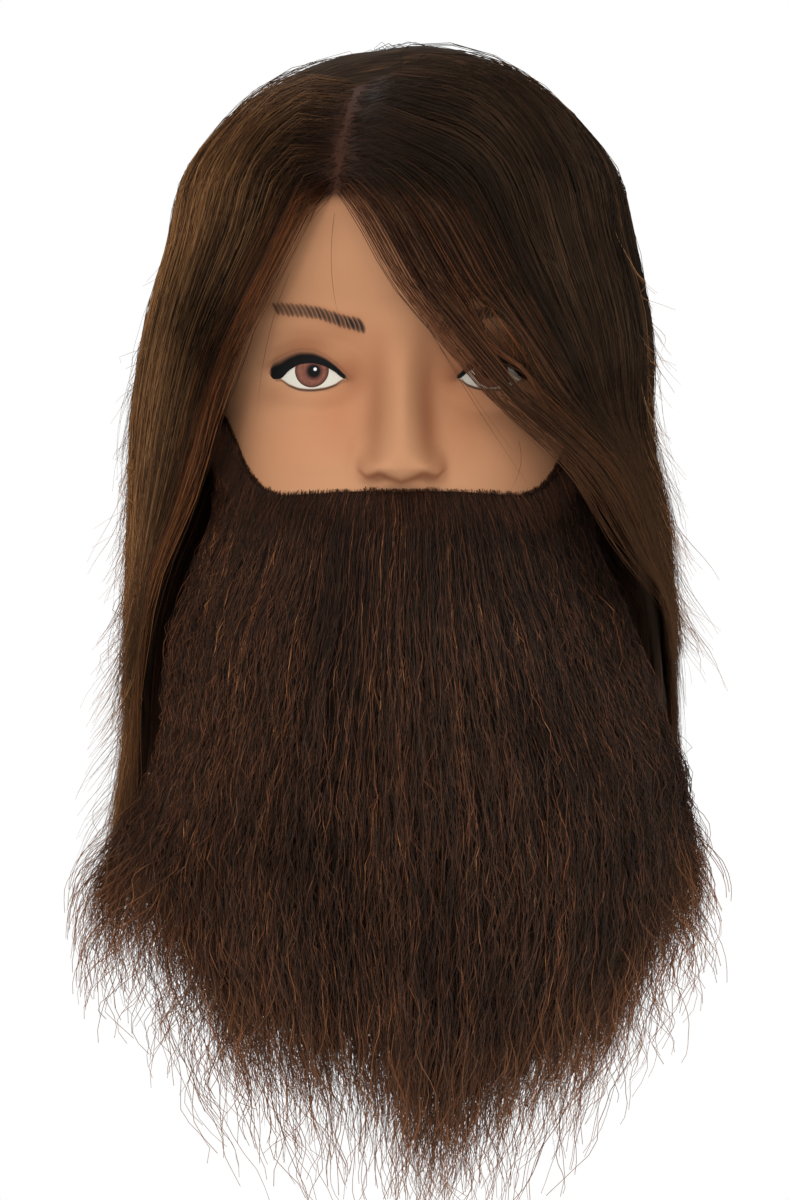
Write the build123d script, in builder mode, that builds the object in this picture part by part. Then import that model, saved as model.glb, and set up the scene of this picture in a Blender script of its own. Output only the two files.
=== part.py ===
"""Hairdresser's training head with long hair and a long full beard.

Millimetres, +Z up, the face looks along -Y, and +X is on the right of someone facing it.
The origin is the mouth of the clamp socket, in the middle of the neck's underside.
A soft vinyl skin is filled with rigid foam. A moulded socket in the neck takes a bench
clamp's pin. The hair is rooted in the skin, zone by zone, and each zone is one solid here.
"""

import os

from build123d import *

# The head: driving dimensions
SKIN_WALL = 3.0
FOAM_GAP = 0.3
HAIR_GAP = 0.4
CROWN_Z = 299.0
CHIN_Z = 78.0

# The clamp socket and the plate that closes the neck
SOCKET_BORE_R = 11.5
SOCKET_WALL = 3.5
SOCKET_DEPTH = 90.0
SOCKET_END = 3.0
SOCKET_R = SOCKET_BORE_R + SOCKET_WALL
SOCKET_FLANGE_R = 30.0
SOCKET_RIB_REACH = 26.0
SOCKET_RIB_HEIGHT = 60.0
SOCKET_RIBS = 4
PLATE_THICKNESS = 4.0
PLATE_FIT = 0.2
FLANGE_THICKNESS = 3.0
PORT_R = 8.0
PORT_Y = 38.0
PLUG_HEAD_R = 11.0
PLUG_HEAD_THICKNESS = 1.6
PLUG_LENGTH = 12.0

# Rings of the shapes below: height, half width, front, widest point and back along Y
SKULL_RINGS = (
    (CHIN_Z, 20, -86, -66, -40),
    (84, 36, -91, -50, -8),
    (96, 50, -92, -30, 34),
    (112, 58, -93, -12, 66),
    (130, 63, -94, -2, 80),
    (150, 67, -94, 0, 88),
    (175, 70.5, -92, 2, 93),
    (200, 73.5, -96, 4, 95),
    (225, 75.5, -94.5, 4, 93),
    (249, 72, -86, 3, 86),
    (269, 61, -70, 2, 71),
    (284, 44, -49, 1, 50),
    (294.5, 22, -24, 0, 25),
    (CROWN_Z, 7, -8, 0, 8),
)
NECK_RINGS = (
    (-20, 63, -60, 0, 65),
    (0, 60, -56, 0, 62),
    (14, 57.5, -53, 0, 60),
    (40, 54, -49, 0, 58),
    (75, 52, -47, 2, 58),
    (105, 53, -46, 4, 61),
    (140, 54, -46, 6, 66),
)
NOSE_RINGS = (
    (147, 12, -98, -84, -80),
    (152, 13, -111, -84, -80),
    (158, 11, -113.5, -84, -80),
    (172, 8, -105, -84, -80),
    (190, 6.5, -95, -84, -80),
)
HAIR_RINGS = (
    (14, 105, -104, 0, 112),
    (60, 105, -106, 2, 112),
    (100, 103, -107, 4, 112),
    (135, 100, -108, 6, 112),
    (170, 96.5, -108, 7, 112),
    (205, 94, -107, 7, 111),
    (236, 89.5, -103, 6, 106),
    (262, 80, -92, 5, 95),
    (283, 66, -73, 4, 77),
    (298, 46, -50, 3, 54),
    (306.5, 23, -24, 2, 27),
    (308.5, 8, -9, 1, 11),
)
UNDER_HAIR_RINGS = (
    (10, 82, -60, 0, 90),
    (50, 80, -60, 2, 90),
    (90, 74, -58, 4, 86),
    (120, 64, -50, 6, 74),
)
BEARD_RINGS = (
    (-108, 44, -100, -52, -48),
    (-92, 70, -108, -50, -46),
    (-60, 96, -114, -48, -44),
    (-20, 113, -119, -44, -38),
    (20, 112, -122, -40, -32),
    (60, 104, -123, -36, -22),
    (95, 93, -121, -32, -14),
    (120, 81, -114, -28, -8),
    (144, 68, -104, -24, -2),
)

# Where the hair divides into its zones
PARTING_X = -12.0
FRONT_Y = -30.0
BACK_Y = 30.0
TOP_Z = 238.0
NAPE_Z = 125.0
BEARD_LINE_Z = 144.0
MOUSTACHE_Z = 112.0
MOUSTACHE_HALF_WIDTH = 34.0
JAW_Z = 70.0
THROAT_Y = -84.0
CHIN_HALF_WIDTH = 38.0
BEARD_BACK_Y = -58.0
ZONE_GAP = 0.3
FACE_WINDOW = (
    (-23, 254),
    (-42, 222),
    (-58, 185),
    (-63, 160),
    (-60, BEARD_LINE_Z),
    (56, BEARD_LINE_Z),
    (60, 158),
    (36, 182),
    (6, 216),
)

# Ears and lips
EAR_X, EAR_Y, EAR_Z = 67.0, 16.0, 174.0
EAR_R, EAR_HALF_HEIGHT = 14.0, 30.0
LIPS_Y, LIPS_Z = -84.0, 124.0
LIPS_HALF_WIDTH, LIPS_R = 23.0, 12.0

# A block larger than the whole object, for cutting it into zones
REACH = 400.0


def ring(height, half_width, front, widest, back):
    """A horizontal outline of two half ellipses that meet at the widest point."""
    with BuildSketch(Plane.XY.offset(height)) as outline:
        with BuildLine():
            EllipticalCenterArc((0, widest), half_width, back - widest, 0, arc_size=180)
            EllipticalCenterArc((0, widest), half_width, widest - front, 180, arc_size=180)
        make_face()
    return outline.sketch


def grown(rings, margin):
    """The same rings with every side moved out by margin, the end rings up and down too."""
    low, high = rings[0][0], rings[-1][0]
    stretch = (high - low + 2 * margin) / (high - low)
    return [
        (
            low - margin + (z - low) * stretch,
            half_width + margin,
            front - margin,
            widest,
            back + margin,
        )
        for z, half_width, front, widest, back in rings
    ]


def lofted(rings):
    """A smooth solid through the rings."""
    with BuildPart() as body:
        loft([ring(*r) for r in rings])
    return body.part


def head_form(margin):
    """The skull and neck together, every side moved out by margin."""
    with BuildPart() as form:
        add(lofted(grown(SKULL_RINGS, margin)))
        add(lofted(grown(NECK_RINGS, margin)))
    return form.part


def spheroid(radius, half_length):
    """A ball of one radius across and half_length along Z, about the origin."""
    with BuildPart() as ball:
        with BuildSketch(Plane.XZ):
            with BuildLine():
                EllipticalCenterArc((0, 0), radius, half_length, -90, arc_size=180)
                Line((0, -half_length), (0, half_length))
            make_face()
        revolve(axis=Axis.Z)
    return ball.part


def face_features(margin):
    """Nose and lips, every side moved out by margin."""
    with BuildPart() as features:
        add(lofted(grown(NOSE_RINGS, margin)))
        with Locations(Location((0, LIPS_Y, LIPS_Z), (0, 90, 0))):
            add(spheroid(LIPS_R + margin, LIPS_HALF_WIDTH + margin))
    return features.part


def ears(margin):
    """Both ears, every side moved out by margin."""
    with BuildPart() as both:
        with Locations((EAR_X, EAR_Y, EAR_Z), (-EAR_X, EAR_Y, EAR_Z)):
            add(spheroid(EAR_R + margin, EAR_HALF_HEIGHT + margin))
    return both.part


def zone_block(x, y, z):
    """A block between the limits given, each a (low, high) pair."""
    with BuildPart() as block:
        with Locations(((x[0] + x[1]) / 2, (y[0] + y[1]) / 2, (z[0] + z[1]) / 2)):
            Box(x[1] - x[0], y[1] - y[0], z[1] - z[0])
    return block.part


def slab(low, high):
    """Everything between two heights."""
    return zone_block((-REACH, REACH), (-REACH, REACH), (low, high))


def make_head_skin():
    """The soft vinyl skin: face, scalp and neck in one moulding, open under the neck."""
    with BuildPart() as skin:
        add(head_form(0))
        add(face_features(0))
        add(ears(0))
        add(head_form(-SKIN_WALL), mode=Mode.SUBTRACT)
        add(face_features(-SKIN_WALL), mode=Mode.SUBTRACT)
        add(slab(-REACH, 0), mode=Mode.SUBTRACT)
    return skin.part


def make_foam_core():
    """The rigid foam that fills the skin around the socket."""
    clear = PLATE_THICKNESS + FLANGE_THICKNESS + PLATE_FIT + FOAM_GAP
    with BuildPart() as core:
        add(head_form(-SKIN_WALL - FOAM_GAP))
        add(face_features(-SKIN_WALL - FOAM_GAP))
        add(slab(-REACH, clear), mode=Mode.SUBTRACT)
        add(socket_room(FOAM_GAP), mode=Mode.SUBTRACT)
        with Locations((0, PORT_Y, clear)):
            Cylinder(
                PORT_R + FOAM_GAP,
                PLUG_LENGTH - clear + FOAM_GAP,
                align=(Align.CENTER, Align.CENTER, Align.MIN),
                mode=Mode.SUBTRACT,
            )
    return core.part


def socket_ribs(margin):
    """The plan of the socket's ribs, margin wider all round."""
    with BuildSketch() as plan:
        with PolarLocations(0, SOCKET_RIBS, start_angle=45):
            with Locations((SOCKET_RIB_REACH / 2, 0)):
                Rectangle(SOCKET_RIB_REACH + 2 * margin, SOCKET_WALL + 2 * margin)
    return plan.sketch


def socket_room(margin):
    """The room that the socket's tube and ribs take, margin wider all round."""
    with BuildPart() as room:
        with BuildSketch():
            Circle(SOCKET_R + margin)
        extrude(amount=SOCKET_DEPTH + SOCKET_END + margin)
        with BuildSketch():
            add(socket_ribs(margin))
        extrude(amount=SOCKET_RIB_HEIGHT + margin)
    return room.part


def make_clamp_socket():
    """The moulded socket: a blind tube for the clamp's pin, with a flange and ribs."""
    flange_low = PLATE_THICKNESS + PLATE_FIT
    with BuildPart() as socket:
        with BuildSketch():
            Circle(SOCKET_R)
        extrude(amount=SOCKET_DEPTH + SOCKET_END)
        with BuildSketch(Plane.XY.offset(flange_low)):
            Circle(SOCKET_FLANGE_R)
        extrude(amount=FLANGE_THICKNESS)
        with BuildSketch(Plane.XY.offset(flange_low)):
            add(socket_ribs(0))
        extrude(amount=SOCKET_RIB_HEIGHT - flange_low)
        fillet(socket.edges().filter_by(GeomType.CIRCLE).group_by(Axis.Z)[-1], 2)
        with BuildSketch():
            Circle(SOCKET_BORE_R)
        extrude(amount=SOCKET_DEPTH, mode=Mode.SUBTRACT)
    return socket.part


def make_base_plate():
    """The hard plate that closes the neck and holds the socket's flange in."""
    with BuildPart() as plate:
        add(head_form(-SKIN_WALL - FOAM_GAP))
        add(slab(0, PLATE_THICKNESS), mode=Mode.INTERSECT)
        with BuildSketch():
            Circle(SOCKET_R + PLATE_FIT)
        extrude(amount=PLATE_THICKNESS, mode=Mode.SUBTRACT)
        with Locations(Location((0, PORT_Y, 0), (180, 0, 0))):
            CounterBoreHole(
                PORT_R, PLUG_HEAD_R + PLATE_FIT, PLUG_HEAD_THICKNESS + PLATE_FIT
            )
    return plate.part


def make_fill_plug():
    """The push-in plug of the hole that the foam is poured through."""
    with BuildPart() as plug:
        with BuildSketch():
            with Locations((0, PORT_Y)):
                Circle(PLUG_HEAD_R)
        extrude(amount=PLUG_HEAD_THICKNESS)
        with BuildSketch():
            with Locations((0, PORT_Y)):
                Circle(PORT_R - PLATE_FIT)
        extrude(amount=PLUG_LENGTH)
        chamfer(plug.faces().sort_by(Axis.Z)[-1].edges(), 1.5)
    return plug.part


def make_scalp_hair():
    """All the scalp hair as one shell, with the window that shows the face."""
    with BuildPart() as hair:
        add(lofted(HAIR_RINGS))
        add(head_form(HAIR_GAP), mode=Mode.SUBTRACT)
        add(face_features(HAIR_GAP), mode=Mode.SUBTRACT)
        add(ears(HAIR_GAP), mode=Mode.SUBTRACT)
        add(lofted(UNDER_HAIR_RINGS), mode=Mode.SUBTRACT)
        with BuildSketch(Plane.XZ.offset(-FRONT_Y)):
            with BuildLine():
                Polyline(*FACE_WINDOW, close=True)
            make_face()
        extrude(amount=REACH, mode=Mode.SUBTRACT)
        front_low = zone_block(
            (-REACH, REACH), (-REACH, FRONT_Y), (-REACH, BEARD_LINE_Z)
        )
        add(front_low, mode=Mode.SUBTRACT)
    return hair.part


def make_beard_mass():
    """All the facial hair as one mass, clear of the skin and of the neck behind it."""
    with BuildPart() as beard:
        add(lofted(BEARD_RINGS))
        add(head_form(HAIR_GAP), mode=Mode.SUBTRACT)
        add(face_features(HAIR_GAP), mode=Mode.SUBTRACT)
        side_limit = FRONT_Y - ZONE_GAP
        behind = zone_block((-REACH, REACH), (side_limit, REACH), (-REACH, REACH))
        add(behind, mode=Mode.SUBTRACT)
        at_neck = zone_block((-REACH, REACH), (BEARD_BACK_Y, REACH), (-REACH, JAW_Z))
        add(at_neck, mode=Mode.SUBTRACT)
    return beard.part


def zone(hair, x, y, z):
    """The part of the hair between the limits given."""
    with BuildPart() as piece:
        add(hair)
        add(zone_block(x, y, z), mode=Mode.INTERSECT)
    return piece.part


def scalp_zones(hair):
    """The scalp hair's zones by name, left being the low X side."""
    sides = {"left": (-REACH, PARTING_X), "right": (PARTING_X + ZONE_GAP, REACH)}
    bands = {
        "top": ((-REACH, REACH), (TOP_Z + ZONE_GAP, REACH)),
        "fringe": ((-REACH, FRONT_Y), (BEARD_LINE_Z, TOP_Z)),
        "side": ((FRONT_Y + ZONE_GAP, BACK_Y), (-REACH, TOP_Z)),
        "back": ((BACK_Y + ZONE_GAP, REACH), (NAPE_Z + ZONE_GAP, TOP_Z)),
        "nape": ((BACK_Y + ZONE_GAP, REACH), (-REACH, NAPE_Z)),
    }
    return {
        f"hair_{band}_{side}": zone(hair, x, y, z)
        for band, (y, z) in bands.items()
        for side, x in sides.items()
    }


def beard_zones(beard):
    """The facial hair's zones by name, left being the low X side."""
    middle = (-CHIN_HALF_WIDTH, CHIN_HALF_WIDTH)
    left = (-REACH, -CHIN_HALF_WIDTH - ZONE_GAP)
    right = (CHIN_HALF_WIDTH + ZONE_GAP, REACH)
    every = (-REACH, REACH)
    cheek_z = (JAW_Z + ZONE_GAP, REACH)
    below = (-REACH, JAW_Z)
    return {
        "moustache": zone(beard, middle, every, (MOUSTACHE_Z + ZONE_GAP, REACH)),
        "beard_chin": zone(beard, middle, (-REACH, THROAT_Y), (-REACH, MOUSTACHE_Z)),
        "beard_throat": zone(
            beard, middle, (THROAT_Y + ZONE_GAP, REACH), (-REACH, MOUSTACHE_Z)
        ),
        "beard_cheek_left": zone(beard, left, every, cheek_z),
        "beard_cheek_right": zone(beard, right, every, cheek_z),
        "beard_jaw_left": zone(beard, left, every, below),
        "beard_jaw_right": zone(beard, right, every, below),
    }


def main():
    parts = {
        "head_skin": make_head_skin(),
        "foam_core": make_foam_core(),
        "clamp_socket": make_clamp_socket(),
        "base_plate": make_base_plate(),
        "fill_plug": make_fill_plug(),
        **scalp_zones(make_scalp_hair()),
        **beard_zones(make_beard_mass()),
    }
    os.makedirs("parts", exist_ok=True)
    for name, part in parts.items():
        part.label = name
        export_step(part, f"parts/{name}.step")
        print(name, len(part.solids()), round(part.volume))


main()
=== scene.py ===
"""A hairdresser's training head: painted vinyl face, long parted hair, long crimped beard.

The shapes are worked out in millimetres in the frame's own axes (+Z up, face along -Y,
origin at the clamp socket's mouth) and turned into metres where a mesh is made.
"""

import math

import bpy
import numpy as np
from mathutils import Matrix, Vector


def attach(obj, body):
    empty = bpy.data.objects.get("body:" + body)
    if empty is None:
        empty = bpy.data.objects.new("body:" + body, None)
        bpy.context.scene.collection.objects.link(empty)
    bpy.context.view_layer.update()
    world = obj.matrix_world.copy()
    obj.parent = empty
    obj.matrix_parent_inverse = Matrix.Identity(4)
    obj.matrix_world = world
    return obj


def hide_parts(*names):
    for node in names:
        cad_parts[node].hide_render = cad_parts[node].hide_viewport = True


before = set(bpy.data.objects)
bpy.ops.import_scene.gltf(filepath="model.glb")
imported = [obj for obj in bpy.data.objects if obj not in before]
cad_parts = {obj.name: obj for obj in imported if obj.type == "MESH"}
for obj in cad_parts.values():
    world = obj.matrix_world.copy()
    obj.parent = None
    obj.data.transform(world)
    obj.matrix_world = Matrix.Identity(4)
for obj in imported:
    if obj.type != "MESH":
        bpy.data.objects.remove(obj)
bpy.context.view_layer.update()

MM = 0.001
SEED = 20
SPARSE = 1.0

# ---------------------------------------------------------------------------
# The head's outer surface
# ---------------------------------------------------------------------------

# Rings of the head: height, half width, front, widest point and back along Y
HEAD_RINGS = np.array((
    (0, 60, -56, 0, 62),
    (14, 57.5, -53, 0, 60),
    (40, 54, -49, 0, 58),
    (60, 52.5, -47.5, 1, 58),
    (68, 53, -50, 1, 58.5),
    (74, 54, -62, 1, 59.5),
    (79, 55, -80, 0, 60.5),
    (85, 56.5, -88.5, -1, 61.5),
    (96, 58.5, -91.5, -2, 65),
    (112, 60.5, -92.5, -2, 70),
    (130, 63, -94, -2, 80),
    (150, 67, -94, 0, 88),
    (175, 70.5, -92.5, 2, 93),
    (200, 73.5, -95, 4, 95),
    (225, 75.5, -94.5, 4, 93),
))
# Above DOME_Z the head is a dome, half an ellipsoid
DOME_Z = 225.0
DOME_HEIGHT = 74.0
CROWN_Z = DOME_Z + DOME_HEIGHT
# Where the upright line is that angles about the head are measured from
AXIS_Y = 4


def slopes(x, y):
    """Slopes for a smooth curve through points that doesn't overshoot them."""
    h = np.diff(x)
    d = np.diff(y) / h
    m = np.empty_like(y, dtype=float)
    m[0], m[-1] = d[0], d[-1]
    w1, w2 = 2 * h[1:] + h[:-1], h[1:] + 2 * h[:-1]
    same = d[1:] * d[:-1] > 0
    safe = np.where(same, d[1:] * d[:-1], 1)
    m[1:-1] = np.where(same, (w1 + w2) * safe / (w1 * d[1:] + w2 * d[:-1] + (~same)), 0)
    return m


def smooth_curve(x, y, at):
    """The value at each point of at, of a smooth curve through the points (x, y)."""
    x, y = np.asarray(x, float), np.asarray(y, float)
    m = slopes(x, y)
    at = np.clip(at, x[0], x[-1])
    i = np.clip(np.searchsorted(x, at, side="right") - 1, 0, len(x) - 2)
    h = x[i + 1] - x[i]
    t = (at - x[i]) / h
    return (
        y[i] * (1 + 2 * t) * (1 - t) ** 2 + m[i] * h * t * (1 - t) ** 2
        + y[i + 1] * t * t * (3 - 2 * t) + m[i + 1] * h * t * t * (t - 1)
    )


def smoothstep(low, high, value):
    """0 up to low, 1 from high on, and a smooth rise between. low may be the greater."""
    t = np.clip((value - low) / (high - low), 0, 1)
    return t * t * (3 - 2 * t)


def hump(value, at, size):
    """1 at one value, falling off smoothly on both sides of it."""
    return np.exp(-((value - at) / size) ** 2)


def spots(table, x, z):
    """The sum of a table's soft spots: height, then place and size, each across and up."""
    return sum(
        height * np.exp(-(((x - at_x) / size_x) ** 2 + ((z - at_z) / size_z) ** 2))
        for height, at_x, at_z, size_x, size_z in table
    )


def table_at(table, z):
    """Each of a table's columns after its first, which is height, in straight steps."""
    return [np.interp(z, table[:, 0], column) for column in table[:, 1:].T]


def ring_values(z):
    """Half width, front, widest and back of the head at each height."""
    z = np.asarray(z, float)
    zs = HEAD_RINGS[:, 0]
    half, front, widest, back = (
        smooth_curve(zs, ring, np.minimum(z, DOME_Z)) for ring in HEAD_RINGS[:, 1:].T
    )
    up = np.clip((z - DOME_Z) / DOME_HEIGHT, 0, 1)
    shrink = np.sqrt(np.maximum(1 - up * up, 0))
    return half * shrink, widest + (front - widest) * shrink, widest, widest + (back - widest) * shrink


# The nose's ridge by height: how far it stands out, and how wide it is
NOSE_Z = (143.5, 146, 149, 152, 156, 161, 168, 178, 187, 196, 206, 214)
NOSE_HEIGHT = (0, 7.5, 15.5, 18.5, 19.6, 18.4, 15.0, 9.8, 5.9, 3.6, 1.5, 0)
NOSE_WIDTH = (10, 9.5, 9.5, 9.3, 8.8, 7.4, 6.2, 5.6, 5.8, 7, 9, 11)
# Rises and hollows on each side of the face: height, then place and size, across and up
SIDE_RELIEF = (
    (8.3, 10.0, 151.8, 4.6, 4.5),  # wings of the nose
    (-1.3, 16.4, 153.5, 2.6, 7),  # folds beside them
    (-4.2, 6.6, 147.6, 3.2, 1.9),  # nostrils
    (-3.4, 18.5, 188, 8.5, 10),  # sockets beside the nose
    (-2.4, 37, 198.5, 17, 5.5),  # sockets over the lids
    (2.6, 30, 208.5, 19, 6.5),  # brow ridges
    (-1.0, 30, 172, 15, 5),  # under the eyes
    (2.8, 39, 158, 18, 17),  # cheeks
    (-2.0, 60, 205, 12, 16),  # temples
)
# The same along the middle: groove of the lip, hollow under the lips, chin
MIDDLE_RELIEF = ((-1.2, 0, 138, 3.2, 6), (-2.2, 0, 105.5, 20, 5), (3.4, 0, 91, 17, 9))
# The lips and the line between them: height, place up and size up
LIPS = ((4.2, 130.5, 4.6), (5.4, 117.5, 5.4), (-2.6, 124.6, 1.7))
LIP_HALF_WIDTH = 27
# The eyeballs under their lids
EYE_X, EYE_Z = 31.6, 185.5
EYEBALL_HALF_WIDTH, EYEBALL_HALF_HEIGHT, EYEBALL_HEIGHT = 20.5, 13, 4.6


def face_relief(x, z):
    """How far the face stands out towards -Y at each place."""
    ridge = smooth_curve(NOSE_Z, NOSE_HEIGHT, z)
    width = smooth_curve(NOSE_Z, NOSE_WIDTH, z)
    relief = ridge * np.exp(-np.abs(x / width) ** 2.3)
    relief += spots(SIDE_RELIEF, x, z) + spots(SIDE_RELIEF, -x, z) + spots(MIDDLE_RELIEF, x, z)
    for side in (-1, 1):
        ball = 1 - ((x - side * EYE_X) / EYEBALL_HALF_WIDTH) ** 2 - ((z - EYE_Z) / EYEBALL_HALF_HEIGHT) ** 2
        relief += EYEBALL_HEIGHT * smoothstep(-0.15, 1.0, ball)
    lip_width = np.clip(1 - (x / LIP_HALF_WIDTH) ** 2, 0, 1)
    return relief + lip_width * sum(height * hump(z, at, size) for height, at, size in LIPS)


def head_point(theta, z, lift=0.0):
    """The head's surface at an angle about its axis (0 in front, pi behind)."""
    half, front, widest, back = ring_values(z)
    reach = np.where(np.cos(theta) > 0, widest - front, back - widest)
    x = (half + lift) * np.sin(theta)
    y = widest - (reach + lift) * np.cos(theta)
    forward = smoothstep(0.05, 0.45, np.cos(theta))
    y = y - forward * face_relief(x, z) * (z < DOME_Z + 20)
    return np.stack([x, y, np.broadcast_to(z, x.shape) + 0.0], -1)


def face_y(x, z):
    """The Y of the face's surface at each place seen from the front."""
    half, front, widest, _ = ring_values(z)
    cosine = np.sqrt(np.maximum(1 - (x / half) ** 2, 0))
    forward = smoothstep(0.05, 0.45, cosine)
    return widest - (widest - front) * cosine - forward * face_relief(x, z)


# ---------------------------------------------------------------------------
# Meshes
# ---------------------------------------------------------------------------


def add_piece(name, mesh, material, node=None):
    """A visible piece. node is the CAD piece that it is shown in place of."""
    mesh.materials.append(material)
    piece = bpy.data.objects.new(name, mesh)
    bpy.context.scene.collection.objects.link(piece)
    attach(piece, "root")
    if node:
        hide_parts(node)


def build_mesh(name, points, faces, attributes=None, uv=None):
    """A smooth mesh from points in millimetres, quads or triangles, and point values."""
    mesh = bpy.data.meshes.new(name)
    groups = faces if isinstance(faces, (list, tuple)) else [faces]
    mesh.vertices.add(len(points))
    mesh.vertices.foreach_set("co", (points * MM).astype(np.float32).ravel())
    loops = np.concatenate([g.ravel() for g in groups]).astype(np.int32)
    sizes = np.concatenate([np.full(len(g), g.shape[1], np.int32) for g in groups])
    starts = np.concatenate([[0], np.cumsum(sizes)[:-1]]).astype(np.int32)
    mesh.loops.add(len(loops))
    mesh.loops.foreach_set("vertex_index", loops)
    mesh.polygons.add(len(sizes))
    mesh.polygons.foreach_set("loop_start", starts)
    mesh.update(calc_edges=True)
    mesh.validate()
    mesh.polygons.foreach_set("use_smooth", np.ones(len(mesh.polygons), bool))
    for key, values in (attributes or {}).items():
        layer = mesh.attributes.new(key, "FLOAT", "POINT")
        layer.data.foreach_set("value", values.astype(np.float32).ravel())
    if uv is not None:
        layer = mesh.uv_layers.new(name="OFBake")
        layer.data.foreach_set("uv", uv[loops].astype(np.float32).ravel())
    return mesh


def grid_faces(rows, columns, wrap=False):
    """Quads of a grid of points, row by row."""
    r = np.arange(rows - 1)[:, None]
    c = np.arange(columns if wrap else columns - 1)[None, :]
    n = (c + 1) % columns
    a, b = r * columns + c, r * columns + n
    d, e = (r + 1) * columns + c, (r + 1) * columns + n
    return np.stack([a, b, e, d], -1).reshape(-1, 4)


def shell_mesh(name, front, back, values=None):
    """Two grids of points joined along their edges into one closed shell."""
    rows, columns, _ = front.shape
    count = rows * columns
    quads = grid_faces(rows, columns)
    edge = np.concatenate([
        np.arange(columns), np.arange(1, rows) * columns + columns - 1,
        (rows - 1) * columns + np.arange(columns - 2, -1, -1), np.arange(rows - 2, 0, -1) * columns,
    ])
    following = np.roll(edge, -1)
    sides = np.stack([edge + count, following + count, following, edge], -1)
    faces = np.vstack([quads, quads[:, ::-1] + count, sides])
    run, rise = front[0, -1, 0] - front[0, 0, 0], front[-1, 0, 2] - front[0, 0, 2]
    if run * rise < 0:
        faces = faces[:, ::-1]
    attributes = None if values is None else {"fade": np.concatenate([values.ravel(), values.ravel()])}
    points = np.vstack([front.reshape(-1, 3), back.reshape(-1, 3)])
    return build_mesh(name, points, faces, attributes)


# ---------------------------------------------------------------------------
# Materials
# ---------------------------------------------------------------------------


def srgb(r, g, b):
    """A colour written as it looks on a screen, 0 to 255, in the renderer's terms."""
    def channel(v):
        v = v / 255
        return v / 12.92 if v <= 0.04045 else ((v + 0.055) / 1.055) ** 2.4
    return (channel(r), channel(g), channel(b), 1.0)


def shades(places, *colours):
    """A colour ramp's stops, from places along it and colours as they look on a screen."""
    return tuple((place, srgb(*colour)) for place, colour in zip(places, colours))


class Nodes:
    """A short way to write a material's nodes."""

    def __init__(self, name):
        self.material = bpy.data.materials.new(name)
        self.material.use_nodes = True
        self.tree = self.material.node_tree
        self.shader = self.tree.nodes["Principled BSDF"]

    def add(self, kind, **settings):
        node = self.tree.nodes.new(kind)
        for key, value in settings.items():
            setattr(node, key, value)
        return node

    def link(self, source, target):
        self.tree.links.new(source, target)

    def set(self, **values):
        for key, value in values.items():
            self.shader.inputs[key.replace("_", " ")].default_value = value

    def feed(self, node, values):
        """Sets or links a node's numbered inputs."""
        for socket, value in values.items():
            if isinstance(value, bpy.types.NodeSocket):
                self.link(value, node.inputs[socket])
            else:
                node.inputs[socket].default_value = value

    def place(self):
        return self.add("ShaderNodeTexCoord").outputs["Object"]

    def attribute(self, name):
        return self.add("ShaderNodeAttribute", attribute_name=name).outputs["Fac"]

    def noise(self, scale, detail=2.0, vector=None, stretch=None):
        node = self.add("ShaderNodeTexNoise")
        node.inputs["Scale"].default_value = scale
        node.inputs["Detail"].default_value = detail
        place = vector or self.place()
        if stretch:
            mapping = self.add("ShaderNodeMapping")
            mapping.inputs["Scale"].default_value = stretch
            self.link(place, mapping.inputs["Vector"])
            place = mapping.outputs["Vector"]
        self.link(place, node.inputs["Vector"])
        return node.outputs["Fac"]

    def ramp(self, source, stops):
        node = self.add("ShaderNodeValToRGB")
        elements = node.color_ramp.elements
        while len(elements) < len(stops):
            elements.new(0.5)
        for element, (place, colour) in zip(elements, stops):
            element.position = place
            element.color = colour
        self.link(source, node.inputs["Fac"])
        return node.outputs["Color"]

    def mix(self, factor, first, second, blend="MIX"):
        node = self.add("ShaderNodeMix", data_type="RGBA", blend_type=blend)
        self.feed(node, {0: factor, 6: first, 7: second})
        return node.outputs[2]

    def math(self, operation, first, second):
        node = self.add("ShaderNodeMath", operation=operation)
        self.feed(node, {0: first, 1: second})
        return node.outputs[0]

    def cells(self, scale):
        """Distance from the middle of the nearest of many small cells."""
        node = self.add("ShaderNodeTexVoronoi")
        node.inputs["Scale"].default_value = scale
        self.link(self.place(), node.inputs["Vector"])
        return node.outputs["Distance"]

    def hollow(self, place, size, dark):
        """White that darkens softly inside an ellipsoid about a place."""
        mapping = self.add("ShaderNodeMapping")
        mapping.inputs["Scale"].default_value = tuple(1 / k for k in size)
        mapping.inputs["Location"].default_value = tuple(-p / k for p, k in zip(place, size))
        self.link(self.place(), mapping.inputs["Vector"])
        length = self.add("ShaderNodeVectorMath", operation="LENGTH")
        self.link(mapping.outputs["Vector"], length.inputs[0])
        return self.ramp(length.outputs["Value"], ((0.35, (dark, dark, dark, 1)), (1.0, WHITE)))

    def bump(self, height, strength, distance):
        node = self.add("ShaderNodeBump")
        node.inputs["Strength"].default_value = strength
        node.inputs["Distance"].default_value = distance
        self.link(height, node.inputs["Height"])
        self.link(node.outputs["Normal"], self.shader.inputs["Normal"])

    def colour(self, socket):
        self.link(socket, self.shader.inputs["Base Color"])


BLACK = (0.0, 0.0, 0.0, 1.0)
WHITE = (1.0, 1.0, 1.0, 1.0)
SKIN_WARM = srgb(190, 130, 93)
SKIN_SHADE = srgb(150, 96, 66)
# The scalp's tint, darkened by painted shade under the hair; the parting is lighter
SHADED_SCALP = srgb(52, 34, 26)
PARTING = srgb(66, 39, 26)
ROOT_DOT = srgb(44, 26, 19)


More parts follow.
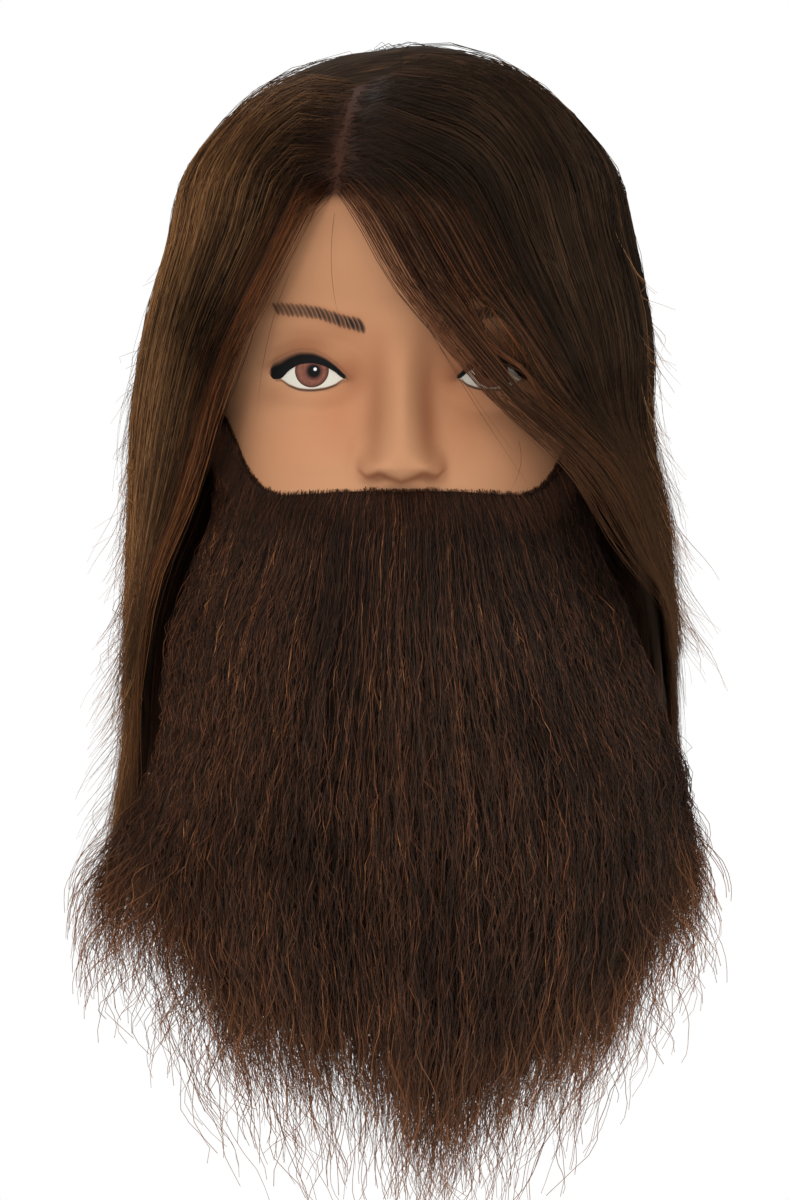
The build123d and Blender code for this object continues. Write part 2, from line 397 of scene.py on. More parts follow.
def skin_material():
    """Soft vinyl with airbrushed shading and painted shade, tinted, darkened with painted shade and pricked
    with roots on the scalp, and painted shade with dark stubble under the beard.
    """
    m = Nodes("painted_vinyl_skin")
    mottle = m.ramp(m.noise(28, 3), shades((0.3, 0.7), (195, 142, 104), (201, 148, 110)))
    warm = m.mix(m.attribute("blush"), mottle, SKIN_WARM)
    shaded = m.mix(m.attribute("airbrush_and_shade"), warm, SKIN_SHADE)
    bare = m.mix(m.attribute("parting"), SHADED_SCALP, PARTING)
    between = m.ramp(m.cells(520), ((0.22, BLACK), (0.42, WHITE)))
    rooted = m.mix(m.attribute("scalp"), shaded, m.mix(between, ROOT_DOT, bare))
    # Painted shade under the beard, with dark stubble
    beard_shade_and_stubble = m.ramp(m.noise(700, 3), shades((0.35, 0.7), (30, 22, 19), (48, 33, 27)))
    m.colour(m.mix(m.attribute("beard"), rooted, beard_shade_and_stubble))
    m.bump(m.noise(900, 2), 0.12, 0.0004)
    m.set(Roughness=0.6, Specular_IOR_Level=0.08)
    return m.material


def plain_plastic(name, low, high, roughness):
    """Moulded plastic with a fine grain and faint uneven colour."""
    m = Nodes(name)
    m.colour(m.ramp(m.noise(60, 4), shades((0.35, 0.7), low, high)))
    m.bump(m.noise(1400, 2), 0.25, 0.0003)
    m.set(Roughness=roughness)
    return m.material


def foam_material():
    """Poured rigid foam: pale, with open cells."""
    m = Nodes("poured_foam")
    cells = m.cells(700)
    m.colour(m.ramp(cells, shades((0.1, 0.6), (196, 178, 132), (224, 210, 168))))
    m.bump(cells, 0.5, 0.0006)
    m.set(Roughness=0.85)
    return m.material


def paint_material(name, colour, edge, roughness, speckle=0.08):
    """Paint on vinyl. The point value fade runs from 1 inside to 0 at a sprayed edge."""
    m = Nodes(name)
    darker = tuple(c * (1 - speckle) for c in colour[:3]) + (1.0,)
    body = m.ramp(m.noise(700, 2), ((0.35, darker), (0.65, colour)))
    m.colour(m.mix(m.attribute("fade"), edge, body))
    m.set(Roughness=roughness, Specular_IOR_Level=0.12)
    return m.material


def finish_cad_nodes():
    """Materials for the CAD parts that are shown as they are, under the neck and in it."""
    for name, material in (
        ("clamp_socket", plain_plastic("socket_plastic", (58, 58, 60), (70, 70, 72), 0.42)),
        ("base_plate", plain_plastic("plate_plastic", (44, 42, 41), (56, 54, 52), 0.5)),
        ("fill_plug", plain_plastic("plug_plastic", (51, 51, 52), (62, 62, 63), 0.45)),
        ("foam_core", foam_material()),
    ):
        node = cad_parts[name]
        node.data.materials.clear()
        node.data.materials.append(material)


# ---------------------------------------------------------------------------
# The head
# ---------------------------------------------------------------------------


# An eye's outlines for a positive side: places across from the nose side outwards
LID_X = (18.2, 20.4, 24.0, 28.0, 32.3, 36.0, 40.0, 43.9, 47.8)
LINER_TOP = (183.9, 185.3, 188.4, 191.3, 193.0, 193.3, 192.5, 191.0, 188.8)
OPENING_TOP = (183.4, 183.7, 186.4, 188.5, 189.5, 189.2, 187.3, 184.1, 184.1)
OPENING_BOTTOM = (183.2, 183.5, 181.5, 180.3, 179.9, 180.2, 181.6, 183.9, 184.1)
# The middle of a brow
BROW_X = (14.4, 20.5, 31.2, 44.9)
BROW_Z = (202.7, 204.2, 207.6, 209.2)
# The hairline: angle either way from the front, and height
HAIRLINE_DEGREES = (0, 20, 40, 55, 68, 85, 105, 130, 160, 180)
HAIRLINE_Z = (250, 248, 236, 214, 182, 160, 150, 128, 108, 104)
# The painted line under the nose, from its middle out to the wing
NOSE_BASE_X = (0, 4, 8, 12, 16)
NOSE_BASE_Z = (146.6, 147.8, 149.4, 148.6, 151.6)
# Airbrushed contour and painted shade in the hollows, under the nose and beside it, alike on both sides:
# strength, then place and size, across and up
NOSE_SIDE_SHADE = ((0.50, 8.6, 178, 3.6, 16), (0.42, 10.5, 163, 4, 14))
FACE_SHADE = (
    (0.55, 17.5, 186, 6, 7),  # inner corners of the eyes
    (0.30, 30, 199, 17, 4.5),  # between lids and brows
    (0.38, 7.2, 148.2, 5.5, 1.8),  # nostrils
    (0.22, 0, 145.9, 6, 1.6),  # under the nose's tip
    (0.20, 11.8, 147.3, 3.6, 1.5),  # under its wings
    (0.34, 15, 152, 2.2, 4),  # behind its wings
    (0.35, 46, 178, 8, 5),  # outer corners of the eyes
    (0.15, 0, 166, 5.5, 20),  # the nose's ridge
    (0.08, 0, 198, 9, 9),  # between the brows
)
FACE_BLUSH = ((0.8, 22, 170, 10, 16), (0.5, 44, 160, 14, 16), (0.5, 12, 190, 8, 10))
# Shade that the fringe throws on the forehead
FRINGE_SHADE = ((0.26, -8, 216, 42, 30),)


def hairline_z(theta):
    """The lowest height of rooted scalp hair at each angle about the head."""
    return smooth_curve(HAIRLINE_DEGREES, HAIRLINE_Z, np.degrees(np.abs(theta)))


def angle_about(p):
    """Each point's angle about the head, 0 in front and positive on the +X side."""
    return np.arctan2(p[..., 0], -(p[..., 1] - AXIS_Y))


def head_rows():
    """Heights of the head mesh's rows, closest on the face, closing in at the crown."""
    body = np.concatenate([
        np.linspace(0, 62, 16, endpoint=False),
        np.linspace(62, 100, 40, endpoint=False),
        np.linspace(100, 143, 46, endpoint=False),
        np.linspace(143, 158, 36, endpoint=False),
        np.linspace(158, 196, 66, endpoint=False),
        np.linspace(196, DOME_Z, 30, endpoint=False),
    ])
    dome = DOME_Z + DOME_HEIGHT * np.sin(np.linspace(0, math.pi / 2, 46))
    return np.concatenate([body, dome[:-1]])


def head_columns():
    """Angles of the head mesh's columns, closest over the face."""
    face = np.radians(np.concatenate([
        np.linspace(-62, -36, 30, endpoint=False),
        np.linspace(-36, 36, 150, endpoint=False),
        np.linspace(36, 62, 30, endpoint=False),
    ]))
    behind = np.radians(np.linspace(62, 298, 76, endpoint=False))
    return np.concatenate([face, behind])


def airbrush_and_painted_shade(x, z):
    """How strongly the face is darkened at each place, by its airbrushed contour and by painted shade."""
    ax = np.abs(x)
    # Painted shade beside the nose is stronger on the +X side, which the key lamp lights less
    lit_less_side = 1 + 0.35 * (x > 0)
    under_nose = hump(z, smooth_curve(NOSE_BASE_X, NOSE_BASE_Z, ax), 0.95) * smoothstep(17, 13.5, ax)
    lid, over_eye = smooth_curve(LID_X, LINER_TOP, ax), smoothstep(14, 24, ax) * smoothstep(53, 44, ax)
    brow, over_brow = smooth_curve(BROW_X, BROW_Z, ax), smoothstep(12.5, 16, ax) * smoothstep(50, 42, ax)
    return (
        spots(NOSE_SIDE_SHADE, ax, z) * lit_less_side + spots(FACE_SHADE, ax, z) + spots(FRINGE_SHADE, x, z)
        + 0.62 * under_nose
        # Painted shade towards the edges of the face and the hair, and over the +X side, which the key lamp
        # lights less
        + 0.22 * smoothstep(44, 68, ax) + 0.30 * smoothstep(225, 255, z) + 0.20 * smoothstep(2, 40, x)
        # Smoky shade over the lids and the soft ground that the brows are painted on
        + over_eye * (0.75 * hump(z, lid, 1.7) + 0.30 * hump(z, lid + 2.5, 3.5))
        + 0.62 * over_brow * hump(z, brow, 2.3)
    )


def make_head(skin):
    """The painted head and neck, one closed skin, with its paint as values at its points."""
    z, theta = np.meshgrid(head_rows(), head_columns(), indexing="ij")
    rows, columns = z.shape
    points = head_point(theta, z).reshape(-1, 3)
    top = len(points)
    points = np.vstack([points, [[0, AXIS_Y, CROWN_Z]]])
    last = (rows - 1) * columns
    c = np.arange(columns)
    n = (c + 1) % columns
    cap = np.stack([last + c, last + n, np.full(columns, top)], -1)
    # The neck's open end turns in by the skin's thickness and runs up inside
    lip = points[:columns] * (0.945, 0.945, 1)
    inside = lip + (0, 0, 3)
    points = np.vstack([points, lip, inside])
    first = top + 1
    rim = np.stack([n, c, first + c, first + n], -1)
    wall = np.stack([first + n, first + c, first + columns + c, first + columns + n], -1)
    faces = [np.vstack([grid_faces(rows, columns, wrap=True), rim, wall]), cap]

    x, y, height = points.T
    facing = y < 0
    below_edge = beard_edge(x) - height
    attributes = {
        "airbrush_and_shade": np.clip(airbrush_and_painted_shade(x, height) * facing, 0, 0.95),
        "blush": np.clip(spots(FACE_BLUSH, np.abs(x), height) * facing, 0, 1),
        "scalp": smoothstep(-2.5, 2.5, height - hairline_z(angle_about(points))),
        # Where painted shade and dark stubble lie under the beard's edge
        "beard": smoothstep(1.0, 3.2, below_edge) * smoothstep(60, 74, height) * (y < -12),
        "parting": hump(x, part_x(y), 3.5) * smoothstep(-20, -36, y) * (height > 232),
    }
    mesh = build_mesh("painted_head_skin", points, faces, attributes)
    add_piece("painted_head_skin", mesh, skin, "head_skin")


# ---------------------------------------------------------------------------
# Painted eyes and brows
# ---------------------------------------------------------------------------


PAINT_THICKNESS = 0.12


def decal(name, x, z, lift, material, fade):
    """A painted layer: a grid of places seen from the front, laid on the face."""
    front = np.stack([x, face_y(x, z) - lift, z], -1)
    mesh = shell_mesh(name, front, front + (0, PAINT_THICKNESS, 0), fade)
    add_piece(name, mesh, material)


# Round parts of a painted eye: place across and up, radius, lift off the skin, share that is soft
EYE_DISCS = (
    ("iris", 32.1, 186.8, 6.1, 0.16, 0.22),
    ("pupil", 31.4, 186.5, 3.3, 0.22, 0.45),
    ("highlight", 30.9, 187.2, 0.7, 0.28, 0.4),
)
WHITE_ENDS = (20.6, 43.8)
LOWER_LINER_ENDS = (19.4, 45.4)


def eye_disc(side, at_x, at_z, radius, soft):
    """Places and paint of a disc kept between the lids."""
    r = np.linspace(0.02, 1, 14)[:, None]
    a = np.linspace(0, 2 * math.pi, 49)[None, :]
    x = np.abs(at_x + radius * r * np.cos(a) * side)
    z = np.maximum(at_z + radius * r * np.sin(a), smooth_curve(LID_X, OPENING_BOTTOM, x) - 0.1)
    fade = np.broadcast_to(1 - smoothstep(1 - soft, 1.0001, r), x.shape)
    return side * x, np.minimum(z, smooth_curve(LID_X, OPENING_TOP, x) + 0.5), fade


def make_eye(side, name, paints):
    """One painted eye. side is -1 for the low X eye and 1 for the other."""
    def ribbon(part, across, z, lift, fade):
        decal(f"{name}_{part}", side * np.broadcast_to(across, z.shape), z, lift, paints[part],
              np.broadcast_to(fade, z.shape))

    across = np.linspace(*WHITE_ENDS, 72)
    low = smooth_curve(LID_X, OPENING_BOTTOM, across)
    high = smooth_curve(LID_X, OPENING_TOP, across)
    t = np.linspace(0, 1, 24)[:, None]
    # The white greys towards its top: painted shade under the upper lid
    ribbon("white", across, low + (high - low) * t, 0.10, smoothstep(-0.2, 0.25, 1 - t))

    for part, at_x, at_z, radius, lift, soft in EYE_DISCS:
        x, z, fade = eye_disc(side, at_x, at_z, radius, soft)
        decal(f"{name}_{part}", x, z, lift, paints[part], fade)

    across = np.linspace(LID_X[0], LID_X[-1], 110)
    top = smooth_curve(LID_X, LINER_TOP, across)
    under = np.minimum(smooth_curve(LID_X, OPENING_TOP, across), top - 0.5)
    ends = smoothstep(0, 4.5, across - LID_X[0]) * smoothstep(0, 2.0, LID_X[-1] - across)
    middle = (top + under) / 2
    top = middle + (top - middle + 1.1) * ends ** 0.5
    under = middle - (middle - under + 0.1) * ends ** 0.5
    t = np.linspace(0, 1, 15)[:, None]
    ribbon("upper_liner", across, under + (top - under) * t, 0.34,
           smoothstep(0, 0.42, 1 - t) * smoothstep(0, 0.5, ends))

    across = np.linspace(*LOWER_LINER_ENDS, 90)
    line = smooth_curve(LID_X, OPENING_BOTTOM, across) - 0.25
    taper = smoothstep(0, 5, across - LOWER_LINER_ENDS[0]) * smoothstep(0, 7, LOWER_LINER_ENDS[1] - across)
    t = np.linspace(-1, 1, 7)[:, None]
    ribbon("lower_liner", across, line + 0.52 * t, 0.30, (1 - t * t) ** 0.7 * (0.45 + 0.5 * taper))


BROW_STROKES = 19


def make_brow(side, name, paint, rng):
    """One painted brow: a row of slanted tapered strokes."""
    s = np.linspace(-0.5, 0.5, 15)[None, :]
    t = np.linspace(-1, 1, 7)[:, None]
    for i in range(BROW_STROKES):
        along = i / (BROW_STROKES - 1)
        at_x = BROW_X[0] + (BROW_X[-1] - BROW_X[0]) * along
        at_z = smooth_curve(BROW_X, BROW_Z, np.array([at_x]))[0]
        length = 6.2 - 1.2 * along + rng.uniform(-0.5, 0.5)
        strength = 1.0 - 0.3 * along + rng.uniform(-0.1, 0.1)
        lean = 0.36 + 0.1 * along + rng.uniform(-0.05, 0.05)
        width = (1.12 - 0.2 * along) * (1 - (2 * s) ** 2) ** 0.6 + 0.02
        x = at_x + 1.2 * lean * length * s + 0.3 * (2 * s) ** 2 + t * width
        z = at_z + length * s + 0 * t
        fade = np.clip((1 - t * t) ** 0.8 * (1 - (2 * s) ** 4) * strength, 0, 1)
        decal(f"{name}_stroke_{i + 1}", side * x, z, 0.14 + 0.01 * (i % 3), paint, fade)


def make_face_paint(rng):
    """Both eyes and both brows."""
    paints = {
        "white": paint_material("eye_white_paint", srgb(216, 210, 196), srgb(182, 174, 160), 0.3, 0.03),
        "iris": paint_material("iris_paint", srgb(133, 83, 67), srgb(76, 44, 36), 0.3, 0.25),
        "pupil": paint_material("pupil_paint", srgb(8, 7, 7), srgb(112, 66, 57), 0.4),
        "highlight": paint_material("eye_highlight_paint", srgb(250, 250, 250), srgb(90, 80, 78), 0.2),
        "upper_liner": paint_material("eyeliner_paint", srgb(13, 13, 13), srgb(160, 110, 80), 0.7, 0.2),
        "lower_liner": paint_material("lower_liner_paint", srgb(62, 48, 42), srgb(186, 134, 98), 0.4),
    }
    brow = paint_material("brow_paint", srgb(36, 30, 28), srgb(158, 112, 83), 0.7, 0.15)
    for side, word in ((-1, "left"), (1, "right")):
        make_eye(side, f"eye_{word}", paints)
        make_brow(side, f"brow_{word}", brow, rng)


# ---------------------------------------------------------------------------
# Strands of hair
# ---------------------------------------------------------------------------

# Sides of a strand
SIDES = 3


def lattice_value(ix, iy, iz, seed):
    """A repeatable value from -1 to 1 at each whole-number place."""
    with np.errstate(over="ignore"):
        h = (ix.astype(np.uint32) * np.uint32(374761393) + iy.astype(np.uint32) * np.uint32(668265263)
             + iz.astype(np.uint32) * np.uint32(2246822519) + np.uint32(seed * 3266489917 % 4294967296))
        h = (h ^ (h >> np.uint32(13))) * np.uint32(1274126177)
        h = (h ^ (h >> np.uint32(15))) * np.uint32(2654435761)
        h ^= h >> np.uint32(16)
    return h.astype(np.float64) / 2147483647.5 - 1


def smooth_noise(points, size, seed):
    """Smooth noise from -1 to 1 with features of one size, at each point."""
    q = points / size + 1000
    cell = np.floor(q).astype(np.int64)
    f = q - cell
    f = f * f * (3 - 2 * f)
    total = 0
    for corner in range(8):
        dx, dy, dz = corner & 1, corner >> 1 & 1, corner >> 2 & 1
        weight = (
            np.where(dx, f[..., 0], 1 - f[..., 0]) * np.where(dy, f[..., 1], 1 - f[..., 1])
            * np.where(dz, f[..., 2], 1 - f[..., 2])
        )
        total = total + weight * lattice_value(
            cell[..., 0] + dx, cell[..., 1] + dy, cell[..., 2] + dz, seed)
    return total


def noise_vector(points, size, seed):
    """Smooth noise in all three directions."""
    return np.stack([smooth_noise(points, size, seed + k) for k in range(3)], -1)


def unit(vectors):
    """Each vector at a length of 1."""
    return vectors / np.maximum(np.linalg.norm(vectors, axis=-1, keepdims=True), 1e-9)


def head_distance(p):
    """How far each point is outside the head without its face's relief, and the way out."""
    x, y, z = p[..., 0], p[..., 1], p[..., 2]
    half, front, widest, back = table_at(HEAD_RINGS, np.minimum(z, DOME_Z))
    reach = np.where(y < widest, widest - front, back - widest)
    up = np.maximum(z - DOME_Z, 0)
    u, v, w = x / half, (y - widest) / reach, up / DOME_HEIGHT
    rho = np.sqrt(u * u + v * v + w * w) + 1e-9
    radius = np.sqrt(x * x + (y - widest) ** 2 + up ** 2)
    normal = unit(np.stack([u / half, v / reach, w / DOME_HEIGHT], -1))
    outward = unit(np.stack([x, y - widest, up], -1))
    return radius * (1 - 1 / rho) * np.sum(normal * outward, -1), normal


def sample_roots(count, low, high, weight, rng, reach=math.pi):
    """Places on the head, evenly spread by area times weight(point)."""
    s = np.linspace(-1.0 + low / DOME_Z, 1, 260)
    t = np.linspace(-reach, reach, 400)
    z = np.where(s < 0, DOME_Z * (1 + s), DOME_Z + DOME_HEIGHT * np.sin(np.maximum(s, 0) * math.pi / 2))
    z = np.minimum(z, high)
    theta, z = np.meshgrid(t, z)
    p = head_point(theta, z)
    along, up = p[:-1, 1:] - p[:-1, :-1], p[1:, :-1] - p[:-1, :-1]
    area = np.linalg.norm(np.cross(along, up), axis=-1)
    middle = (p[:-1, :-1] + p[1:, 1:]) / 2
    chance = (area * weight(middle)).ravel()
    pick = np.searchsorted(np.cumsum(chance) / chance.sum(), rng.random(count))
    pick = np.minimum(pick, chance.size - 1)
    a, b = rng.random((2, count, 1))
    corner = [q.reshape(-1, 3)[pick] for q in (p[:-1, :-1], p[:-1, 1:], p[1:, :-1])]
    return corner[0] + a * (corner[1] - corner[0]) + b * (corner[2] - corner[0])


def resample(paths, ends, points):
    """Each path cut off at its own end, a fractional index, and given even points."""
    t = np.linspace(0, 1, points)[None, :] * ends[:, None]
    i = np.clip(t.astype(int), 0, paths.shape[1] - 2)
    f = (t - i)[..., None]
    row = np.arange(len(paths))[:, None]
    return paths[row, i] * (1 - f) + paths[row, i + 1] * f


def nearest(points, centres):
    """The number of the centre that is nearest to each point."""
    best = np.empty(len(points), int)
    for start in range(0, len(points), 2000):
        block = points[start:start + 2000]
        distance = np.sum((block[:, None, :] - centres[None, :, :]) ** 2, -1)
        best[start:start + 2000] = distance.argmin(1)
    return best


def strand_mesh(name, paths, radius, tone, v_start=None, taper_from=0.55, tip=0.3):
    """Closed three-sided strands. Each follows its path and is finest at its tip.

    The map's U is the strand's tone and its V runs from root to tip, from v_start on where
    a strand is seen only from part of the way down.
    """
    count, steps, _ = paths.shape
    tangent = unit(np.gradient(paths, axis=1))
    side = unit(np.cross(tangent, (0.31, 0.87, 0.38)))
    other = np.cross(tangent, side)
    v = np.linspace(0, 1, steps)
    taper = (0.7 + 0.3 * smoothstep(0, 0.1, v)) * (1 - (1 - tip) * smoothstep(taper_from, 1, v))
    r = (radius[:, None] * taper[None, :])[..., None, None]
    a = 2 * math.pi * np.arange(SIDES) / SIDES
    ring = (side[:, :, None, :] * np.cos(a)[None, None, :, None]
            + other[:, :, None, :] * np.sin(a)[None, None, :, None])
    points = (paths[:, :, None, :] + r * ring).reshape(-1, 3)
    base = (np.arange(count) * steps * SIDES)[:, None, None]
    k = (np.arange(steps - 1) * SIDES)[None, :, None]
    j = np.arange(SIDES)[None, None, :]
    n = (j + 1) % SIDES
    quads = np.stack([base + k + j, base + k + n, base + k + SIDES + n, base + k + SIDES + j], -1)
    start = base[:, 0, :] + np.array([[2, 1, 0]])
    end = base[:, 0, :] + (steps - 1) * SIDES + np.array([[0, 1, 2]])
    first = np.zeros(count) if v_start is None else v_start
    place = first[:, None] + (1 - first[:, None]) * v[None, :]
    uv = 0.01 + 0.98 * np.stack([np.repeat(tone, steps * SIDES), np.repeat(place.ravel(), SIDES)], -1)
    uv[:, 0] += np.tile(np.array([-0.001, 0.0, 0.001]), count * steps)
    return build_mesh(name, points, [quads.reshape(-1, 4), np.vstack([start, end])], uv=uv)


# A piece heavier than this is made as several
MOST_TRIANGLES = 190000


def strand_pieces(name, paths, radius, tone, material, node, slot, v_start=None, **shape):
    """The strands as one piece, or as several where one would be too heavy."""
    per_strand = (paths.shape[1] - 1) * SIDES * 2 + 2
    parts = math.ceil(len(paths) / (MOST_TRIANGLES // per_strand))
    for part in range(parts):
        pick = slice(part, None, parts)
        label = f"{name}_{part + 1}" if parts > 1 else name
        first = None if v_start is None else v_start[pick]
        mesh = strand_mesh(label, paths[pick], radius[pick], tone[pick], first, **shape)
        add_piece(label, mesh, material, node)


def strand_material(name, stops, root_shade, tip, tip_share, roughness=0.42, level=0.25,
                    glint_count=7, glint_strength=0.22, tip_from=0.62, deep=None):
    """Hair: tone across U, with stretches along it lightened by painted glints and darkened by painted
    shade, painted shade at the root and where deep is given, tinted at the tip.
    """
    m = Nodes(name)
    parts = m.add("ShaderNodeSeparateXYZ")
    uv = m.add("ShaderNodeUVMap", uv_map="OFBake").outputs["UV"]
    m.link(uv, parts.inputs[0])
    # Painted glints and shade: stretches along the strand lighter or darker, where its crimps catch the
    # light or dive under other hair
    glints_and_shade = m.math("SUBTRACT", m.noise(1.0, 2, uv, (90, glint_count, 1)), 0.5)
    shifted = m.math("ADD", parts.outputs["X"], m.math("MULTIPLY", glints_and_shade, glint_strength))
    along = parts.outputs["Y"]
    near_root = m.ramp(along, ((0.0, root_shade), (0.22, WHITE)))
    shaded = m.mix(1.0, m.ramp(shifted, stops), near_root, "MULTIPLY")
    broad = m.ramp(m.noise(22, 2), ((0.35, (0.66, 0.66, 0.68, 1)), (0.62, (1.18, 1.16, 1.12, 1))))
    shaded = m.mix(1.0, shaded, broad, "MULTIPLY")
    if deep:
        shaded = m.mix(1.0, shaded, m.hollow(*deep), "MULTIPLY")
    share = m.ramp(along, ((tip_from, BLACK), (1.0, (tip_share,) * 3 + (1,))))
    m.colour(m.mix(share, shaded, tip))
    m.set(Roughness=roughness, Specular_IOR_Level=level, Specular_Tint=(1.0, 0.72, 0.52, 1))
    return m.material


# ---------------------------------------------------------------------------
# Scalp hair
# ---------------------------------------------------------------------------

SCALP_STRANDS = 14200
# Each strand is first laid in steps of this many millimetres
STEP = 4.0
MARCH_STEPS = 92
PATH_POINTS = 19
# The parting seen from above
PART_Y = (-100, -88, -70, -40, 0, 30, 60, 110)
PART_X = (-24, -24, -21.5, -16, -10.5, -7, -3, 0)

# The hair seen from the front: height and X of its outside, and of its edge on the face
LEFT_OUTSIDE = np.array((
    (15, -108), (32, -104), (50, -101), (68, -99.5), (104, -100), (141, -100),
    (160, -99.5), (178, -98), (208, -93.5), (230, -88.5), (252, -81), (274, -69),
), float)
LEFT_EDGE = np.array((
    (15, -84), (45, -85), (69, -87), (97, -84), (119, -79), (140, -69),
    (165, -60.5), (176, -58), (201, -49), (226, -36), (244, -27), (252, -24),
), float)
RIGHT_OUTSIDE = np.array((
    (60, 100), (97, 98), (119, 97), (141, 96), (163, 91.5), (178, 89),
    (197, 90.5), (215, 88.5), (241, 81.5), (266, 72), (289, 58),
), float)
RIGHT_EDGE = np.array((
    (60, 98), (90, 96), (105, 89), (126, 71), (153, 57), (162, 49.5),
    (180, 28), (201, 10), (222, -8), (249, -22), (258, -26),
), float)


def part_x(y):
    """The parting's X at each Y."""
    return smooth_curve(PART_Y, PART_X, y)


def scalp_weight(p):
    """Roots only above the hairline, closer set along the parting and the front."""
    x, y, z = p[..., 0], p[..., 1], p[..., 2]
    above = z - hairline_z(angle_about(p))
    near_part = hump(x, part_x(y), 10) * (z > 240)
    crown = 0.8 * (z > 222) * (y > -10)
    front_edge = smoothstep(16, 4, above) * smoothstep(-30, -60, y)
    in_part = (np.abs(x - part_x(y)) < 0.6) & (y < -28)
    set_close = 1 + (0.5 + 3.2 * near_part) * smoothstep(60, 0, y) + 4.5 * front_edge + crown
    return (above > 0.5) * set_close * np.where(in_part, 0.15, 1)


def drift(x, z, outside, edge):
    """How far across the hair moves for each millimetre that it falls."""
    def at_and_way(table):
        at, before, after = (table_at(table, z + shift)[0] for shift in (0, -4, 4))
        return at, (before - after) / 8
    x_out, way_out = at_and_way(outside)
    x_edge, way_edge = at_and_way(edge)
    width = np.maximum(np.abs(x_edge - x_out), 1)
    share = np.clip(np.abs(x - x_out) / width * np.where((x - x_out) * (x_edge - x_out) > 0, 1, 0), 0, 1)
    past = np.where((x - x_out) * np.sign(x_out) > 0, x_out - x, 0)
    return way_out + (way_edge - way_out) * smoothstep(0, 0.75, share) + 0.03 * np.clip(past, -12, 12)


# Hair may reach this far to each side before it is held in, and this much further when held
FREE_REACH = 110
HELD_REACH = 13


def held_in(paths):
    """Hair that would stand out too far to the sides, gently drawn in."""
    x = paths[..., 0]
    past = np.maximum(np.abs(x) - FREE_REACH, 0)
    paths[..., 0] -= np.sign(x) * (past - HELD_REACH * (1 - np.exp(-past / HELD_REACH)))
    return paths


def combed(p, normal, side):
    """The way the hair is combed at each point."""
    x, y, z = p.T
    right = side > 0
    degrees = np.degrees(side * angle_about(p))
    by_part = hump(x, part_x(y), 20) * smoothstep(-30, -14, y)
    crown = np.maximum(smoothstep(25, 75, y), by_part)
    forward = np.where(right, 0.72, 0.45) * smoothstep(35, -45, y) * (1 - by_part)
    cap = np.stack([side * (1 - 0.55 * crown - 0.25 * by_part), 0.95 * crown - forward, -0.3 + 0 * x], -1)

    # Falling hair keeps between its outside and its edge on the face
    draw_in = np.sqrt(1 - np.clip((y - 10) / 108, 0, 0.9) ** 2)
    across = draw_in * np.where(right, drift(x / draw_in, z, RIGHT_OUTSIDE, RIGHT_EDGE),
                                drift(x / draw_in, z, LEFT_OUTSIDE, LEFT_EDGE))
    behind = smoothstep(80, 115, degrees)
    across = across * (1 - behind * (1 - np.clip(np.abs(x) / 92, 0, 1)))
    facing = smoothstep(0.25, 0.6, -normal[:, 1])
    along_head = (normal[:, 2] - across * normal[:, 0]) / np.minimum(normal[:, 1], -0.2)
    most = np.where(right, np.interp(z, (150, 185), (0.12, 0.8)), 0.8)
    back = np.clip(along_head, -0.6, most) * facing
    settle = 0.10 * smoothstep(60, 110, degrees) * smoothstep(235, 190, z) * smoothstep(185, 120, degrees)
    lean_back = np.interp(z, (60, 120, 190, 230), (0.0, 0.03, 0.10, 0.22)) * smoothstep(115, 150, degrees)
    falling = np.stack([across, back + lean_back - settle * 0.5, -1 + 0 * x], -1)
    weight = smoothstep(240, 270, z)[:, None]
    return unit(falling * (1 - weight) + cap * weight)


def march(roots, side, layer):
    """Paths of hair from its roots: combed over the head, then hanging free."""
    _, normal = head_distance(roots)
    p = roots.copy()
    on_crown = hump(roots[:, 0], part_x(roots[:, 1]), 28) * smoothstep(-60, -30, roots[:, 1])
    d = unit(combed(p, normal, side) * 0.8 + normal * 0.5)
    paths = [p.copy()]
    for k in range(MARCH_STEPS):
        distance, normal = head_distance(p)
        want = combed(p, normal, side)
        # Hair close to the head follows it
        close = smoothstep(30, 4, distance)[:, None]
        into = np.minimum(np.sum(want * normal, -1), 0)[:, None]
        want = unit(want - normal * into * close)
        d = unit(0.55 * d + 0.45 * want)
        p = p + STEP * d
        travel = (k + 1) * STEP
        distance, normal = head_distance(p)
        # How thick the hair lies: over the crown, down its slopes and at the sides
        steep = np.abs(normal[:, 0])
        shoulder = np.where(side < 0, smoothstep(0.42, 0.78, steep), smoothstep(0.28, 0.70, steep))
        over = 4.4 + (4.6 + 1.5 * (side > 0)) * smoothstep(-44, -14, p[:, 1])
        depth = over + (9.4 - over) * smoothstep(0.04, 0.30, steep) - 5.4 * shoulder
        lift = layer * (4 * (1 - np.exp(-travel / (3 + 7 * on_crown)))
                        + depth * (1 - np.exp(-travel / (6 + 12 * on_crown))))
        on_face = smoothstep(0.3, 0.7, -normal[:, 1]) * (p[:, 2] < DOME_Z + 15)
        distance = distance - face_relief(p[:, 0], p[:, 2]) * on_face
        over_top = smoothstep(228, 246, p[:, 2])
        short = lift - distance
        move = np.where(short > 0, short, 0.35 * short * over_top)
        p = p + normal * move[:, None]
        paths.append(p.copy())
    return np.stack(paths, 1)


# The dense hair behind the ears and down the nape: height, half width and back along Y
UNDERCOAT = np.array((
    (20, 99, 96), (44, 98.5, 96), (70, 97.5, 97), (100, 95, 98), (130, 87, 98),
    (150, 79, 98), (175, 74.5, 97.5), (200, 75.5, 97), (222, 74, 93), (236, 66, 82),
), float)
UNDERCOAT_TOP = 236
# Its lower edge on the +X side, on the -X side and behind
RIGHT_BOTTOM, LEFT_BOTTOM, BACK_BOTTOM = 64, 28, 82


